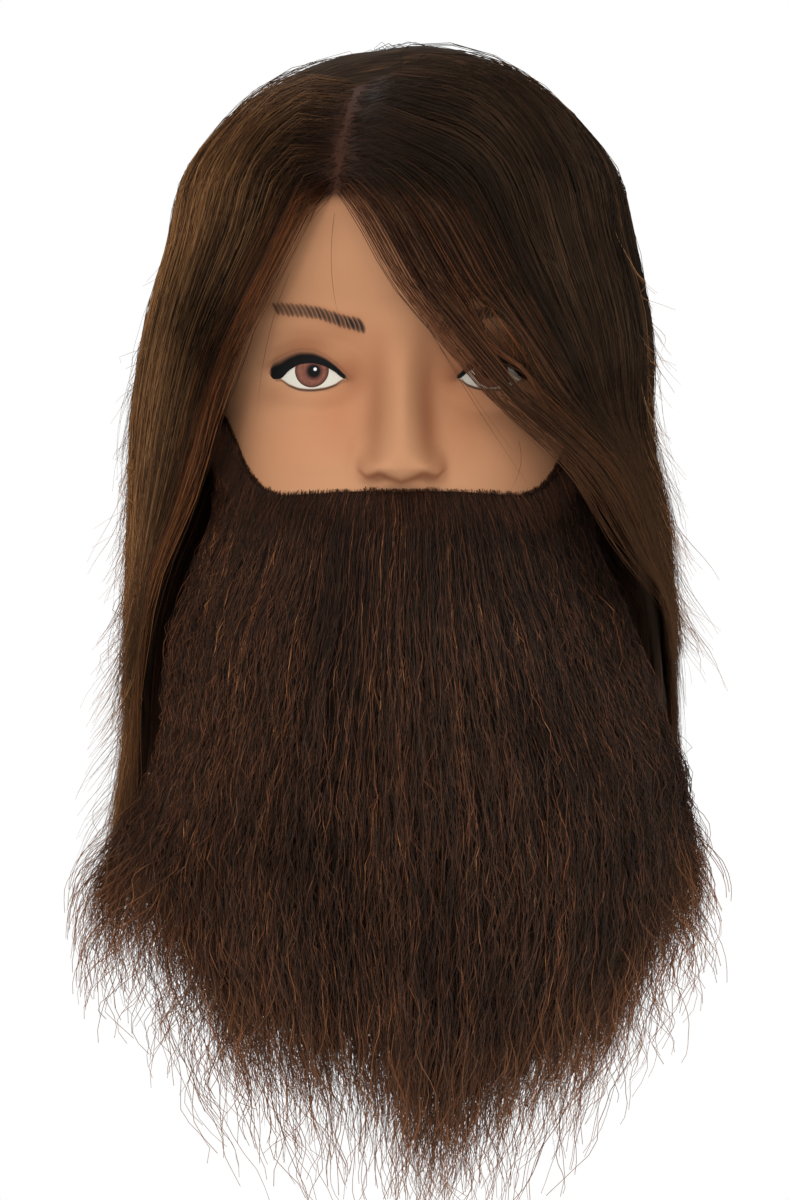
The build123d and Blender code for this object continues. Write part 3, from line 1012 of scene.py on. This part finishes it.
def streaked_material(name, colours, stretch):
    """Hair in the mass: streaks that run down it, with relief to match."""
    m = Nodes(name)
    streaks = m.noise(1.0, 4, None, stretch)
    m.colour(m.ramp(streaks, shades((0.3, 0.55, 0.75), *colours)))
    m.bump(streaks, 0.8, 0.001)
    m.set(Roughness=0.8, Specular_IOR_Level=0.06)
    return m.material


def ragged_edge(columns, seed):
    """A repeatable value from -1 to 1 for each column of a sheet."""
    return lattice_value(np.arange(columns), *np.zeros((2, columns), int), seed)


def make_hair_undercoat():
    """The dense hair hanging round the sides and back, as one closed crimped sheet."""
    rows, columns = 80, 181
    turn = np.radians(np.linspace(78, 282, columns))[:, None]
    side_bottom = np.where(turn < math.pi, RIGHT_BOTTOM, LEFT_BOTTOM)
    behind = smoothstep(92, 48, np.abs(np.degrees(turn) - 180))
    bottom = side_bottom + (BACK_BOTTOM - side_bottom) * behind + 4 * ragged_edge(columns, 9)[:, None]
    z = bottom + (UNDERCOAT_TOP - bottom) * np.linspace(0, 1, rows)[None, :]
    half, back = table_at(UNDERCOAT, z)
    cosine = np.cos(turn)
    y = np.where(cosine < 0, AXIS_Y - (back - AXIS_Y) * cosine, AXIS_Y - 90 * cosine)
    sheet = np.stack([half * np.sin(turn), y, z], -1)
    sheet = sheet + noise_vector(sheet * (1, 1, 0.2), 4.0, 41) * (0.8, 0.8, 0)
    inner = sheet * (0.965, 0.965, 1)
    mesh = shell_mesh("hair_undercoat", sheet.transpose(1, 0, 2), inner.transpose(1, 0, 2))
    colours = (44, 35, 29), (60, 45, 35), (80, 58, 43)
    material = streaked_material("hair_undercoat", colours, (700, 700, 40))
    add_piece("hair_undercoat", mesh, material)


def make_crown_undercoat():
    """The dense hair on the crown, a thin shell, as thick behind the parting as round it."""
    rise, turn = np.meshgrid(
        np.radians(np.linspace(8, 89.2, 60)), np.radians(np.linspace(0, 360, 181)), indexing="ij")
    crown = head_point(turn, DOME_Z + DOME_HEIGHT * np.sin(rise))
    _, normal = head_distance(crown)
    thick = 10.0 + 1.9 * smoothstep(-8, 12, crown[..., 0])
    thick = -1.5 + thick * smoothstep(-40, -8, crown[..., 1]) * smoothstep(238, 268, crown[..., 2])
    uneven = 0.5 * smooth_noise(crown * (0.3, 1, 1), 3.0, 43)
    crown = crown + normal * (thick + uneven)[..., None]
    mesh = shell_mesh("hair_crown_undercoat", crown, crown - 1.2 * normal)
    colours = (28, 20, 15), (50, 36, 25), (84, 59, 39)
    material = streaked_material("hair_crown", colours, (70, 900, 70))
    add_piece("hair_crown_undercoat", mesh, material)


def gathered(paths, roots, side, layer, rng):
    """Hair in locks: strands drift towards a leader near them, more so to the tip."""
    count = len(roots)
    leaders = rng.permutation(count)[: count // 15]
    spread = np.column_stack([roots, side * 60, layer * 8])
    lead = leaders[nearest(spread, spread[leaders])]
    k = np.arange(MARCH_STEPS + 1)
    pull = (0.42 * smoothstep(2, 40, k) + 0.16 * smoothstep(40, 80, k))[None, :, None]
    loose = (0.35 + 0.65 * rng.random(count))[:, None, None]
    return paths + pull * loose * (paths[lead] - paths), lead


def waved(paths, rng):
    """Gentle waves that neighbours share, and a little of each strand's own."""
    count = len(paths)
    k = np.arange(MARCH_STEPS + 1)[None, :, None]
    grow = smoothstep(0, 22, k)
    paths = paths + grow * noise_vector(paths, 46.0, 11)
    own = rng.uniform(0, 2 * math.pi, (count, 1, 3))
    rate = rng.uniform(0.10, 0.26, (count, 1, 3))
    size = rng.gamma(1.6, 0.26, (count, 1, 1))
    return paths + grow * size * np.sin(own + rate * k * 2)


def cut(paths, roots, side, layer, rng):
    """Each strand cut off at its own height, and which of the outer ones are layered shorter."""
    count = len(paths)
    right_front = smoothstep(112, 70, np.degrees(side * angle_about(roots))) * (side > 0)
    ragged = rng.random(count)
    low = np.where(side < 0, 14 + 66 * ragged ** 1.6, 22 + 60 * ragged ** 1.6)
    low = low * (1 - right_front) + (86 + 58 * ragged ** 1.3) * right_front
    layered = (rng.random(count) < 0.17) & (layer > 0.55)
    low = np.where(layered, np.maximum(low, rng.uniform(50, 165, count)), low)
    below = paths[..., 2] < low[:, None]
    first = np.where(below.any(1), below.argmax(1), MARCH_STEPS)
    ends = np.clip(first.astype(float), 6, MARCH_STEPS - 0.01)
    return resample(paths, ends, PATH_POINTS), layered


def frayed(paths, layered, rng):
    """Tips turned outwards, most on layered hair, and which few hairs stray from the rest."""
    count = len(paths)
    t = np.linspace(0, 1, PATH_POINTS)[None, :, None]
    outward = unit(paths[:, -1:, :] * (1, 1, 0) - (0, AXIS_Y, 0))
    flare = np.where(layered, rng.gamma(2.5, 1.0, count), rng.exponential(1.0, count))[:, None, None]
    paths = paths + flare * outward * smoothstep(0.72, 1.0, t)
    stray = rng.random(count) < 0.02
    wander = rng.normal(0, 1.8, (count, 1, 3)) * (1, 1, 0.4) * stray[:, None, None]
    bend = rng.uniform(0.8, 2.4, (count, 1, 1))
    return paths + wander * np.sin(bend * t * math.pi) * smoothstep(0.1, 0.5, t), stray


# Slits between locks of the fringe: place across, height, length along the lock and width
FRINGE_GAPS = ((36.0, 199.5, 12.0, 4.8), (41.5, 185.0, 8.0, 2.6))
# The way across those locks, which hang at a slant
ACROSS_X, ACROSS_Z = 0.75, 0.66


def open_slits(paths, rng):
    """Pushes the fringe's strands, but for a few loose ones, out of the slits."""
    kept = (rng.random(len(paths)) >= 0.07)[:, None]
    for at_x, at_z, long, wide in FRINGE_GAPS:
        x, z = paths[..., 0] - at_x, paths[..., 2] - at_z
        along, off = ACROSS_Z * x - ACROSS_X * z, ACROSS_X * x + ACROSS_Z * z
        inside = hump(along, 0, long) * (paths[..., 1] < -40) * kept
        push = np.where(off > 0, 1, -1) * np.maximum(wide - np.abs(off) * 0.7, 0) * inside
        paths[..., 0] += ACROSS_X * push
        paths[..., 2] += ACROSS_Z * push


def scalp_tones(paths, roots, above, lead, rng):
    """How light each strand is, from 0 to 1. A lock shares its tone and so do neighbours. Painted light
    lifts the -X outside and painted shade darkens a core beside the face.
    """
    count = len(roots)
    x, y = paths[:, 12, 0], paths[:, 12, 1]
    # Painted light on the -X outside of the hair, which the key lamp lights, and painted shade in a core
    # beside the face
    painted_light = smoothstep(-80, -98, x) * smoothstep(45, 0, y)
    shaded_core = hump(x, -68, 13) * smoothstep(45, 0, y)
    on_edge = smoothstep(9, 3, above) * (roots[:, 1] < -40)
    tone = 0.27 + rng.normal(0, 0.09, count)[lead] + 0.10 * smooth_noise(roots * (1, 1, 0.6), 30.0, 31)
    tone = tone + rng.normal(0, 0.08, count) + 0.50 * painted_light + 0.26 * on_edge - 0.13 * shaded_core
    return np.clip(tone + 0.18 * (rng.random(count) < 0.04), 0, 1)


HAIR_STOPS = (0.0, 0.3, 0.55, 0.8, 1.0)
HAIR_BROWN = shades(HAIR_STOPS, (31, 26, 22), (53, 41, 32), (82, 59, 42), (126, 90, 60), (172, 128, 86))
HAIR_RED = shades(HAIR_STOPS, (31, 25, 21), (62, 43, 33), (96, 60, 42), (140, 84, 48), (184, 120, 70))
# Beside the face, where the falling hair is in shade: place, size and how dark
DEEP_SHADE = ((-0.068, -0.035, 0.190), (0.024, 0.07, 0.050), 0.42)
HAIR_LOOK = {"root_shade": (0.6, 0.55, 0.52, 1), "tip": srgb(122, 84, 54), "tip_share": 0.3,
             "deep": DEEP_SHADE, "level": 0.04}
FRINGE_LOOK = {**HAIR_LOOK, "tip": srgb(80, 57, 39), "tip_share": 0.85, "tip_from": 0.36}
SIDE_LOOK = {**HAIR_LOOK, "tip": srgb(150, 108, 74), "tip_share": 0.42}


def make_scalp_hair(rng):
    """The rooted hair in its zones, the dense hair under it and the flyaway hairs on it."""
    make_hair_undercoat()
    make_crown_undercoat()
    count = int(SCALP_STRANDS * SPARSE)
    roots = sample_roots(count, 100, CROWN_Z, scalp_weight, rng)
    # On the crown the two sides of the parting mingle
    mingled = 6 * smoothstep(-24, -12, roots[:, 1]) * rng.normal(0, 1, count)
    side = np.where(roots[:, 0] + mingled > part_x(roots[:, 1]), 1.0, -1.0)
    layer = 0.18 + 0.86 * rng.random(count) ** 0.7
    paths, lead = gathered(march(roots, side, layer), roots, side, layer, rng)
    paths, layered = cut(waved(paths, rng), roots, side, layer, rng)
    paths, stray = frayed(paths, layered, rng)
    open_slits(paths, rng)
    above = roots[:, 2] - hairline_z(angle_about(roots))
    tone = scalp_tones(paths, roots, above, lead, rng)
    radius = rng.uniform(0.08, 0.155, count) * np.where(stray, 0.6, 1)

    # A strand belongs to the first zone that its root is in
    _, y, z = roots.T
    zones = (
        ("fringe", (y < -40) & (above < 9), strand_material("hair_fringe_auburn", HAIR_RED, **FRINGE_LOOK)),
        ("top", z > 238, strand_material("hair_top_brown", HAIR_BROWN, **HAIR_LOOK)),
        ("side", y < 30, strand_material("hair_side_brown", HAIR_BROWN, **SIDE_LOOK)),
        ("back", z > 125, strand_material("hair_back_brown", HAIR_BROWN, **HAIR_LOOK)),
        ("nape", z > 0, strand_material("hair_nape_brown", HAIR_BROWN, **HAIR_LOOK)),
    )
    flyaway = strand_material("flyaway_brown", HAIR_BROWN, (0.95, 0.9, 0.86, 1), srgb(188, 124, 70), 0.9)
    make_flyaways(paths, flyaway, rng)
    left = np.ones(count, bool)
    for zone, test, material in zones:
        for word, way in (("left", -1), ("right", 1)):
            pick = left & test & (side == way)
            node = f"hair_{zone}_{word}"
            strand_pieces(f"{node}_strands", paths[pick], radius[pick], tone[pick],
                          material, node, "scalp_hair")
        left &= ~test


FLYAWAYS = 760


def make_flyaways(paths, material, rng):
    """Short fine hairs whose tips curl out of the hair's outline."""
    strand = np.arange(len(paths))
    for word, way, share, outside in (("left", -1, 0.65, LEFT_OUTSIDE), ("right", 1, 0.3, RIGHT_OUTSIDE)):
        at = rng.integers(6, 18, len(paths))
        start = paths[strand, at]
        ahead = unit(paths[strand, at + 1] - start + (0, 0, -0.01))
        x, y, z = start.T
        outer = (x * way > way * table_at(outside, z)[0] - 7) & (z < 245) & (y < 60)
        outer &= (way < 0) | (z > 112)
        chosen = rng.permutation(np.flatnonzero(outer))[: int(FLYAWAYS * share * SPARSE)]
        start, ahead, count = start[chosen], ahead[chosen], len(chosen)
        # Some bend together in tufts
        tuft = nearest(start, start[:max(count // 11, 1)])
        t = np.linspace(0, 1, 10)[None, :, None]
        length = rng.uniform(16, 46, (count, 1, 1)) * np.where(start[:, 2] > 195, 0.55, 1.0)[:, None, None]
        length = 0.5 * length + 0.5 * length[tuft]
        out = unit(start * (1, 0.6, 0) + rng.normal(0, 18, (count, 3)) * (0.4, 1, 0))[:, None, :]
        bow = length * (rng.uniform(-0.04, 0.14, (count, 1, 1)) + rng.gamma(1.5, 0.09, (count, 1, 1))[tuft])
        turn = rng.normal(0, 1, (count, 1, 3)) * (1, 1, 0.3)
        curl = np.sin(rng.uniform(1.5, 4, (count, 1, 1)) * t * math.pi) * rng.gamma(2, 0.8, (count, 1, 1))
        straight = start[:, None, :] + ahead[:, None, :] * length * t
        hairs = held_in(straight + out * bow * t ** 2 + turn * curl * t)
        radius, tone = rng.uniform(0.08, 0.13, count), rng.uniform(0.6, 1, count)
        strand_pieces(f"hair_flyaways_{word}", hairs, radius, tone, material,
                      f"hair_side_{word}", "scalp_hair", tip=0.4)


# Single hairs that hang over the face: where each starts, passes and ends, across and up
STRAY_HAIRS = (
    ((4, 212), (24, 176), (45, 147)),
    ((-6, 226), (12, 196), (40, 158)),
    ((-3, 220), (20, 185), (58, 152)),
    ((-24, 243), (-27, 222), (-22, 204)),
    ((42, 162), (45, 153), (39, 144)),
    ((-40, 222), (-50, 200), (-52, 172)),
)


def make_stray_hairs():
    """The single hairs over the face, each an even curve."""
    t = np.linspace(0, 1, 22)[:, None]
    paths = []
    for start, middle, end in STRAY_HAIRS:
        x, z = ((1 - t) ** 2 * a + 2 * t * (1 - t) * b + t * t * c for a, b, c in zip(start, middle, end))
        paths.append(np.hstack([x, face_y(x, z) - 1.2 - 2.5 * np.sin(math.pi * t), z]))
    paths = np.stack(paths)
    colour = srgb(96, 60, 42)
    stops = ((0.0, srgb(40, 26, 20)), (1.0, colour))
    material = strand_material("stray_hair_brown", stops, (0.8, 0.8, 0.8, 1), colour, 0.3)
    strand_pieces("stray_hairs", paths, np.full(len(paths), 0.075), np.linspace(0.1, 0.9, len(paths)),
                  material, None, "scalp_hair")


# ---------------------------------------------------------------------------
# Beard
# ---------------------------------------------------------------------------

# The beard's upper edge on the face: places across and their heights
BEARD_EDGE_X = (0, 10, 20, 30, 42, 49, 54.5, 58, 61, 64)
BEARD_EDGE_Z = (144.4, 145.0, 144.8, 144.2, 143.7, 146, 152, 159, 166, 172)
# The beard's outside: height, half width, front and widest point along Y
BEARD_SHAPE = np.array((
    (-112, 54, -98, -52), (-92, 66, -104, -50), (-60, 88, -111, -48), (-20, 105, -116, -44),
    (0, 108.5, -118, -42), (20, 109, -119, -40), (40, 107, -120, -38), (62, 99, -120, -36),
    (95, 89, -118, -32), (120, 78, -111, -28), (144, 66, -101, -24), (170, 62, -96, -20),
))
# How low the beard's full part reaches across its width
HEM_X = (-112, -105, -99, -82, -72, -66, -30, -3, 10, 18, 51, 75, 82, 91, 101, 112)
HEM_Z = (14, 5, -5, -17, -31, -50, -65, -73, -90, -89, -72, -52, -33, -13, 4, 16)
# No hair ends lower than this
LOWEST_TIP = -112
# How far round from the front the beard's outside goes, and its roots may be
BEARD_TURN = math.radians(82)
BEARD_REACH = math.radians(80)


def beard_edge(x):
    """The height of the beard's upper edge across the face."""
    return smooth_curve(BEARD_EDGE_X, BEARD_EDGE_Z, np.abs(x))


def beard_weight(p):
    """Roots over the whole beard, closer set along its upper edge."""
    top = beard_edge(p[..., 0])
    inside = (p[..., 2] < top) & (p[..., 2] > 66) & (p[..., 1] < -14)
    return inside * (1 + 2.0 * smoothstep(top - 9, top - 1, p[..., 2]))


def edge_weight(p):
    """Roots only in a band along the beard's upper edge."""
    below = beard_edge(p[..., 0]) - p[..., 2]
    return (below > -0.3) * (below < 7) * (p[..., 1] < -14) * (1 + 2 * smoothstep(3, 0, below))


def beard_paths(roots, rank, hem, t):
    """Places along beard hair from root to hem. rank 0 stays inside, 1 goes to the outside."""
    x0, y0, z0 = (roots[:, k:k + 1] for k in range(3))
    z = z0 - (z0 - hem[:, None]) * (t ** 1.06)
    drop = z0 - z
    out = rank[:, None] * (1 - np.exp(-drop / 20))
    across = np.clip(x0 / 63, -1, 1)
    wide, front, widest = table_at(BEARD_SHAPE, z)
    wide = wide - 14 * (across < 0) * np.abs(across) * hump(z, 45, 30)
    turn = np.sign(across) * np.abs(across) ** 1.15 * BEARD_TURN
    outer_x, outer_y = wide * np.sin(turn), widest - (widest - front) * np.cos(turn)
    hang = smoothstep(92, 62, z)
    x = x0 + (outer_x - x0) * (1 - np.exp(-drop / 66)) * (0.5 + 0.5 * rank[:, None])
    inner_y = y0 * (1 - hang) + np.maximum(y0, -62 - 12 * np.cos(turn)) * hang
    # Down to the jaw the innermost hair lies just outside the skin
    half, head_front, head_widest, _ = table_at(HEAD_RINGS, z)
    skin_y = head_widest - (head_widest - head_front) * np.sqrt(
        np.maximum(1 - (x / (half + 3)) ** 2, 0.02))
    inner_y = np.minimum(inner_y, np.where(z > 76, skin_y - 1.5 * (1 - np.exp(-drop / 4)), inner_y))
    y = inner_y + (outer_y - inner_y) * out
    return np.stack([x, y, z], -1)


def hem_under(roots, rank):
    """How low the beard's full part reaches where each strand ends."""
    end = beard_paths(roots, rank, np.full(len(roots), -30.0), np.ones((1, 1)))
    return np.interp(end[:, 0, 0], HEM_X, HEM_Z)


def crimped(paths, t, wisp, rng):
    """Crimp each path: small kinks, waves that dive under the neighbours, looser at the tip."""
    count, steps, _ = paths.shape
    t = t[..., None]
    start = smoothstep(0.0, 0.08, t)
    kink = rng.normal(0, 1, (count, steps, 3)) * (0.42, 0.5, 0.1)
    even = 1 - 0.75 * wisp[:, None, None] * smoothstep(0.66, 0.85, t)
    paths = paths + kink * rng.gamma(3, 0.33, (count, 1, 1)) * start * (1 + 0.5 * t) * even
    paths = paths + start * 1.2 * noise_vector(paths, 24.0, 71)
    for waves, size in ((rng.uniform(5, 11, (count, 1, 3)), (0.6, 2.0, 0)),
                        (rng.uniform(1.2, 3.5, (count, 1, 3)), (1.6, 1.6, 0))):
        phase = rng.uniform(0, 2 * math.pi, (count, 1, 3))
        swing = rng.gamma(2.2, 0.45, (count, 1, 1)) * smoothstep(0.03, 0.5, t)
        paths = paths + swing * np.sin(phase + waves * t * 2 * math.pi) * size
    free = np.where(wisp, 1.0, 0.35)[:, None, None]
    fan = rng.uniform(0, 0.15, (count, 1, 1)) * free * (1 + 0.8 * (paths[:, -1:, :1] < -40))
    tips = free * rng.normal(0, 5, (count, 1, 3)) * (1, 0.6, 0.5) + paths[:, -1:, :] * fan * (1, 0, 0)
    curl = sum(free * rng.normal(0, size, (count, 1, 3)) * (1, 1, 0.3)
               * np.sin(rng.uniform(*rate, (count, 1, 3)) * t * math.pi)
               for size, rate in ((2.2, (4, 9)), (2.0, (10, 20))))
    loose_end = smoothstep(0.78, 1.0, t)
    paths = paths + tips * loose_end ** 1.5 + curl * loose_end
    return held_in(paths)


def beard_pieces(label, paths, roots, radius, tone, material, v_start=None, **shape):
    """Strands of the beard, one piece for each zone that they are rooted in."""
    x, z = roots[:, 0], roots[:, 2]
    middle = np.abs(x) < 22
    zones = (
        ("moustache", middle & (z > 118)),
        ("beard_chin", middle & (z > 84)),
        ("beard_throat", middle),
        ("beard_cheek_left", (x < 0) & (z > 112)),
        ("beard_cheek_right", (x > 0) & (z > 112)),
        ("beard_jaw_left", x < 0),
        ("beard_jaw_right", x > 0),
    )
    left = np.ones(len(roots), bool)
    for node, test in zones:
        chosen = left & test
        left &= ~test
        if chosen.any():
            first = None if v_start is None else v_start[chosen]
            strand_pieces(f"{node}_{label}", paths[chosen], radius[chosen], tone[chosen],
                          material, node, "beard_hair", first, **shape)


def make_beard_undercoat():
    """The dense hair inside the beard, as one closed crimped mass."""
    rows, columns = 90, 161
    theta = np.radians(np.linspace(-66, 66, columns))
    x = 65 * np.sin(theta)
    roots = head_point(theta, beard_edge(x) - 1.5, 0.2)
    t = np.linspace(0, 1, rows)[None, :]
    hem = hem_under(roots, np.full(columns, 0.66)) + 15 + 9 * ragged_edge(columns, 5)
    crimp = smoothstep(0, 0.1, t)[..., None]
    sheets = []
    for rank, inset in ((0.66, 0.0), (0.18, 1.0)):
        sheet = beard_paths(roots, np.full(columns, rank), hem, t)
        sheet = sheet + noise_vector(sheet * (1, 1, 0.25), 3.0, 91) * (0.6, 0.9, 0) * crimp
        sheets.append((sheet + (0, inset, 0)).transpose(1, 0, 2))
    colours = (26, 19, 16), (46, 31, 25), (70, 44, 32)
    material = streaked_material("beard_undercoat", colours, (900, 900, 60))
    add_piece("beard_undercoat", shell_mesh("beard_undercoat", *sheets), material)


BEARD_DARK = shades(
    (0.0, 0.35, 0.6, 0.82, 1.0), (32, 27, 25), (57, 42, 35), (96, 60, 43), (134, 84, 54), (190, 138, 92))
WISP_SHARE = 0.17
# The beard's layers: name, number of strands, ranks from and to, points along a strand, the share of
# the way down where it may begin, how far it strays past the hem, and its radius
BEARD_LAYERS = (
    ("outer_strands", 4700, (0.42, 2), 50, (0, 0), 5.0, (0.085, 0.14)),
    ("inner_strands", 2300, (0, 0.42), 30, (0, 0), 5.0, (0.10, 0.16)),
    ("hem_strands", 4600, (0.15, 2), 26, (0.4, 0.66), 6.0, (0.07, 0.12)),
)


def make_beard_layer(rng, body, wispy, label, most, ranks, steps, start, hem_drop, thickness):
    """One layer of the beard. body and wispy are its materials."""
    most = int(most * SPARSE)
    roots = sample_roots(int(most * 2.4) + 50, 66, 176, beard_weight, rng, reach=BEARD_REACH)
    rank = np.clip((roots[:, 2] - 70) / 74 * 0.75 + 0.25 + rng.normal(0, 0.16, len(roots)), 0.03, 1.03)
    keep = np.flatnonzero((rank >= ranks[0]) & (rank < ranks[1]))[:most]
    roots, rank, count = roots[keep], rank[keep], len(keep)
    tufts = rng.permutation(count)[:64]
    near = roots * (1, 0.4, 0.5)
    tuft = tufts[nearest(near, near[tufts])]
    hem = hem_under(roots, rank) + 20 * rng.beta(1.1, 2.6, count) + 4 * (1 - rank)
    wisp = rng.random(count) < WISP_SHARE
    hem = hem - rng.exponential(hem_drop, count) - wisp * rng.exponential(17, count)
    hem = np.clip(hem + rng.normal(0, 7.5, count)[tuft], LOWEST_TIP, None)
    first = rng.uniform(*start, (count, 1))
    t = first + (1 - first) * np.linspace(0, 1, steps)[None, :]

    # Strands draw together into locks on the way down and into tufts at the hem
    own = beard_paths(roots, rank, hem, t)
    locks = rng.permutation(count)[: max(count // 11, 1)]
    lead = locks[nearest(roots, roots[locks])]
    toward = beard_paths(roots[lead], rank[lead], hem, t)
    loose = rng.random((count, 1, 1))
    own = own + 0.42 * smoothstep(0.3, 1, t)[..., None] * loose * (toward - own)
    gather = beard_paths(roots[tuft], rank[tuft], hem, t)
    own = own + 0.5 * smoothstep(0.7, 1, t)[..., None] * loose * (gather - own) * (1, 0.5, 0)
    own = crimped(own, t, wisp, rng)
    if start[1] == 0:
        own[:, 0] = roots

    # Lighter in places, with painted light towards the -X side, which the key lamp lights, and painted shade
    # towards the +X side
    tone = np.clip(0.34 + rng.normal(0, 0.10, count) + rng.normal(0, 0.06, count)[lead]
                   + 0.15 * (rng.random(count) < 0.1) + 0.16 * wisp
                   - 0.09 * smoothstep(0, 50, roots[:, 0]) + 0.07 * smoothstep(0, -50, roots[:, 0]), 0, 0.72)
    radius = rng.uniform(*thickness, count)
    radius = np.where(wisp, radius * 1.3, radius)
    for chosen, word, look, tip in ((~wisp, label, body, 0.5), (wisp, f"{label}_wisps", wispy, 0.75)):
        beard_pieces(word, own[chosen], roots[chosen], radius[chosen], tone[chosen], look,
                     v_start=first[chosen, 0], taper_from=0.8, tip=tip)


def make_beard_edge(rng, material):
    """Short hairs that stand out of the skin along the beard's upper edge."""
    roots = sample_roots(int(6800 * SPARSE), 100, 180, edge_weight, rng, reach=BEARD_REACH)
    roots = roots[beard_edge(roots[:, 0]) - roots[:, 2] > rng.uniform(-0.5, 0.7, len(roots))]
    count = len(roots)
    _, normal = head_distance(roots)
    t = np.linspace(0, 1, 6)[None, :, None]
    way = unit(np.stack([0.12 * np.sign(roots[:, 0]) + rng.normal(0, 0.16, count),
                         rng.normal(-0.05, 0.1, count), np.full(count, -1.0)], -1))[:, None, :]
    length = rng.uniform(7, 16, (count, 1, 1))
    stand = rng.uniform(0.8, 3.2, (count, 1, 1))
    stubs = roots[:, None, :] + way * length * t + normal[:, None, :] * stand * (t * (1.9 - t))
    at_root = face_relief(roots[:, 0], roots[:, 2])[:, None]
    stubs[..., 1] -= face_relief(stubs[..., 0], stubs[..., 2]) - at_root
    tone = np.clip(rng.normal(0.42, 0.15, count), 0, 1)
    beard_pieces("edge_strands", stubs, roots, rng.uniform(0.05, 0.09, count), tone, material, tip=0.35)


def make_beard(rng):
    """The beard and moustache: a dense mass, layers of crimped strands, and short hairs at the edge."""
    make_beard_undercoat()
    body = strand_material("beard_crimped", BEARD_DARK, (0.48, 0.46, 0.46, 1), srgb(128, 84, 58), 0.55,
                           roughness=0.45, level=0.25, glint_count=26, glint_strength=1.5, tip_from=0.88)
    wispy = strand_material("beard_wisps", BEARD_DARK, (0.6, 0.56, 0.55, 1), srgb(158, 106, 70), 0.85,
                            roughness=0.5, level=0.15, glint_count=26, glint_strength=1.2, tip_from=0.76)
    short = strand_material("beard_edge_dark", BEARD_DARK, (0.7, 0.66, 0.64, 1), srgb(48, 32, 26), 0.2,
                            roughness=0.55, level=0.15)
    for layer in BEARD_LAYERS:
        make_beard_layer(rng, body, wispy, *layer)
    make_beard_edge(rng, short)


# ---------------------------------------------------------------------------
# Stage
# ---------------------------------------------------------------------------


FLOOR_Z = -420.0
FLOOR_HALF = 3500.0


def make_stage():
    """White surroundings and a pale floor."""
    world = bpy.data.worlds.new("studio")
    world.use_nodes = True
    background = world.node_tree.nodes["Background"]
    background.inputs["Color"].default_value = WHITE
    background.inputs["Strength"].default_value = 1.0
    bpy.context.scene.world = world
    corners = np.array([(-1, -1), (1, -1), (1, 1), (-1, 1)]) * FLOOR_HALF
    corners = np.column_stack([corners, np.full(4, FLOOR_Z)])
    mesh = build_mesh("studio_floor", corners, np.array([(0, 1, 2, 3)]))
    floor = bpy.data.objects.new("studio_floor", mesh)
    bpy.context.scene.collection.objects.link(floor)
    m = Nodes("studio_floor")
    m.colour(m.ramp(m.noise(3, 2), shades((0.3, 0.7), (238, 238, 238), (243, 243, 243))))
    m.set(Roughness=0.9)
    mesh.materials.append(m.material)


# Lamps: name, place, what they face, size and power
LAMPS = (
    ("key", (-0.9, -2.0, 1.1), (0, 0, 0.15), 0.9, 7),
    ("fill", (1.2, -1.8, 0.6), (0, 0, 0.12), 1.2, 1.5),
    ("rim_left", (-1.3, 1.2, 0.9), (0, 0, 0.15), 0.8, 9),
    ("rim_right", (1.2, 1.3, 0.9), (0, 0, 0.15), 0.8, 6),
)


def area_light(name, place, aim, size, watts):
    """A round lamp that faces a place."""
    data = bpy.data.lights.new(name, "AREA")
    data.shape = "DISK"
    data.size = size
    data.energy = watts
    lamp = bpy.data.objects.new(name, data)
    lamp.location = place
    direction = np.array(aim) - np.array(place)
    lamp.rotation_euler = Vector(direction).to_track_quat("-Z", "Y").to_euler()
    bpy.context.scene.collection.objects.link(lamp)


# The camera looks along +Y from afar. Height and middle of what it sees, in metres
CAMERA_DISTANCE = 3.0
VIEW_HEIGHT = 1.2 / 2.8
VIEW_CENTRE = (-0.0025, -0.095, 0.1046)
SENSOR_HEIGHT = 36


def make_camera():
    """The camera in front of the face."""
    data = bpy.data.cameras.new("camera")
    data.sensor_fit = "VERTICAL"
    data.sensor_height = SENSOR_HEIGHT
    data.lens = SENSOR_HEIGHT * CAMERA_DISTANCE / VIEW_HEIGHT
    data.clip_end = 50
    camera = bpy.data.objects.new("camera", data)
    camera.location = (VIEW_CENTRE[0], VIEW_CENTRE[1] - CAMERA_DISTANCE, VIEW_CENTRE[2])
    camera.rotation_euler = (math.pi / 2, 0, 0)
    bpy.context.scene.collection.objects.link(camera)
    bpy.context.scene.camera = camera


def main():
    """The stage, then the head and its hair. All random values come from one seed, in this order."""
    rng = np.random.default_rng(SEED)
    make_camera()
    make_stage()
    for lamp in LAMPS:
        area_light(*lamp)
    bpy.context.scene.view_settings.view_transform = "Standard"
    finish_cad_nodes()
    make_head(skin_material())
    make_face_paint(rng)
    make_scalp_hair(rng)
    make_stray_hairs()
    make_beard(rng)


main()
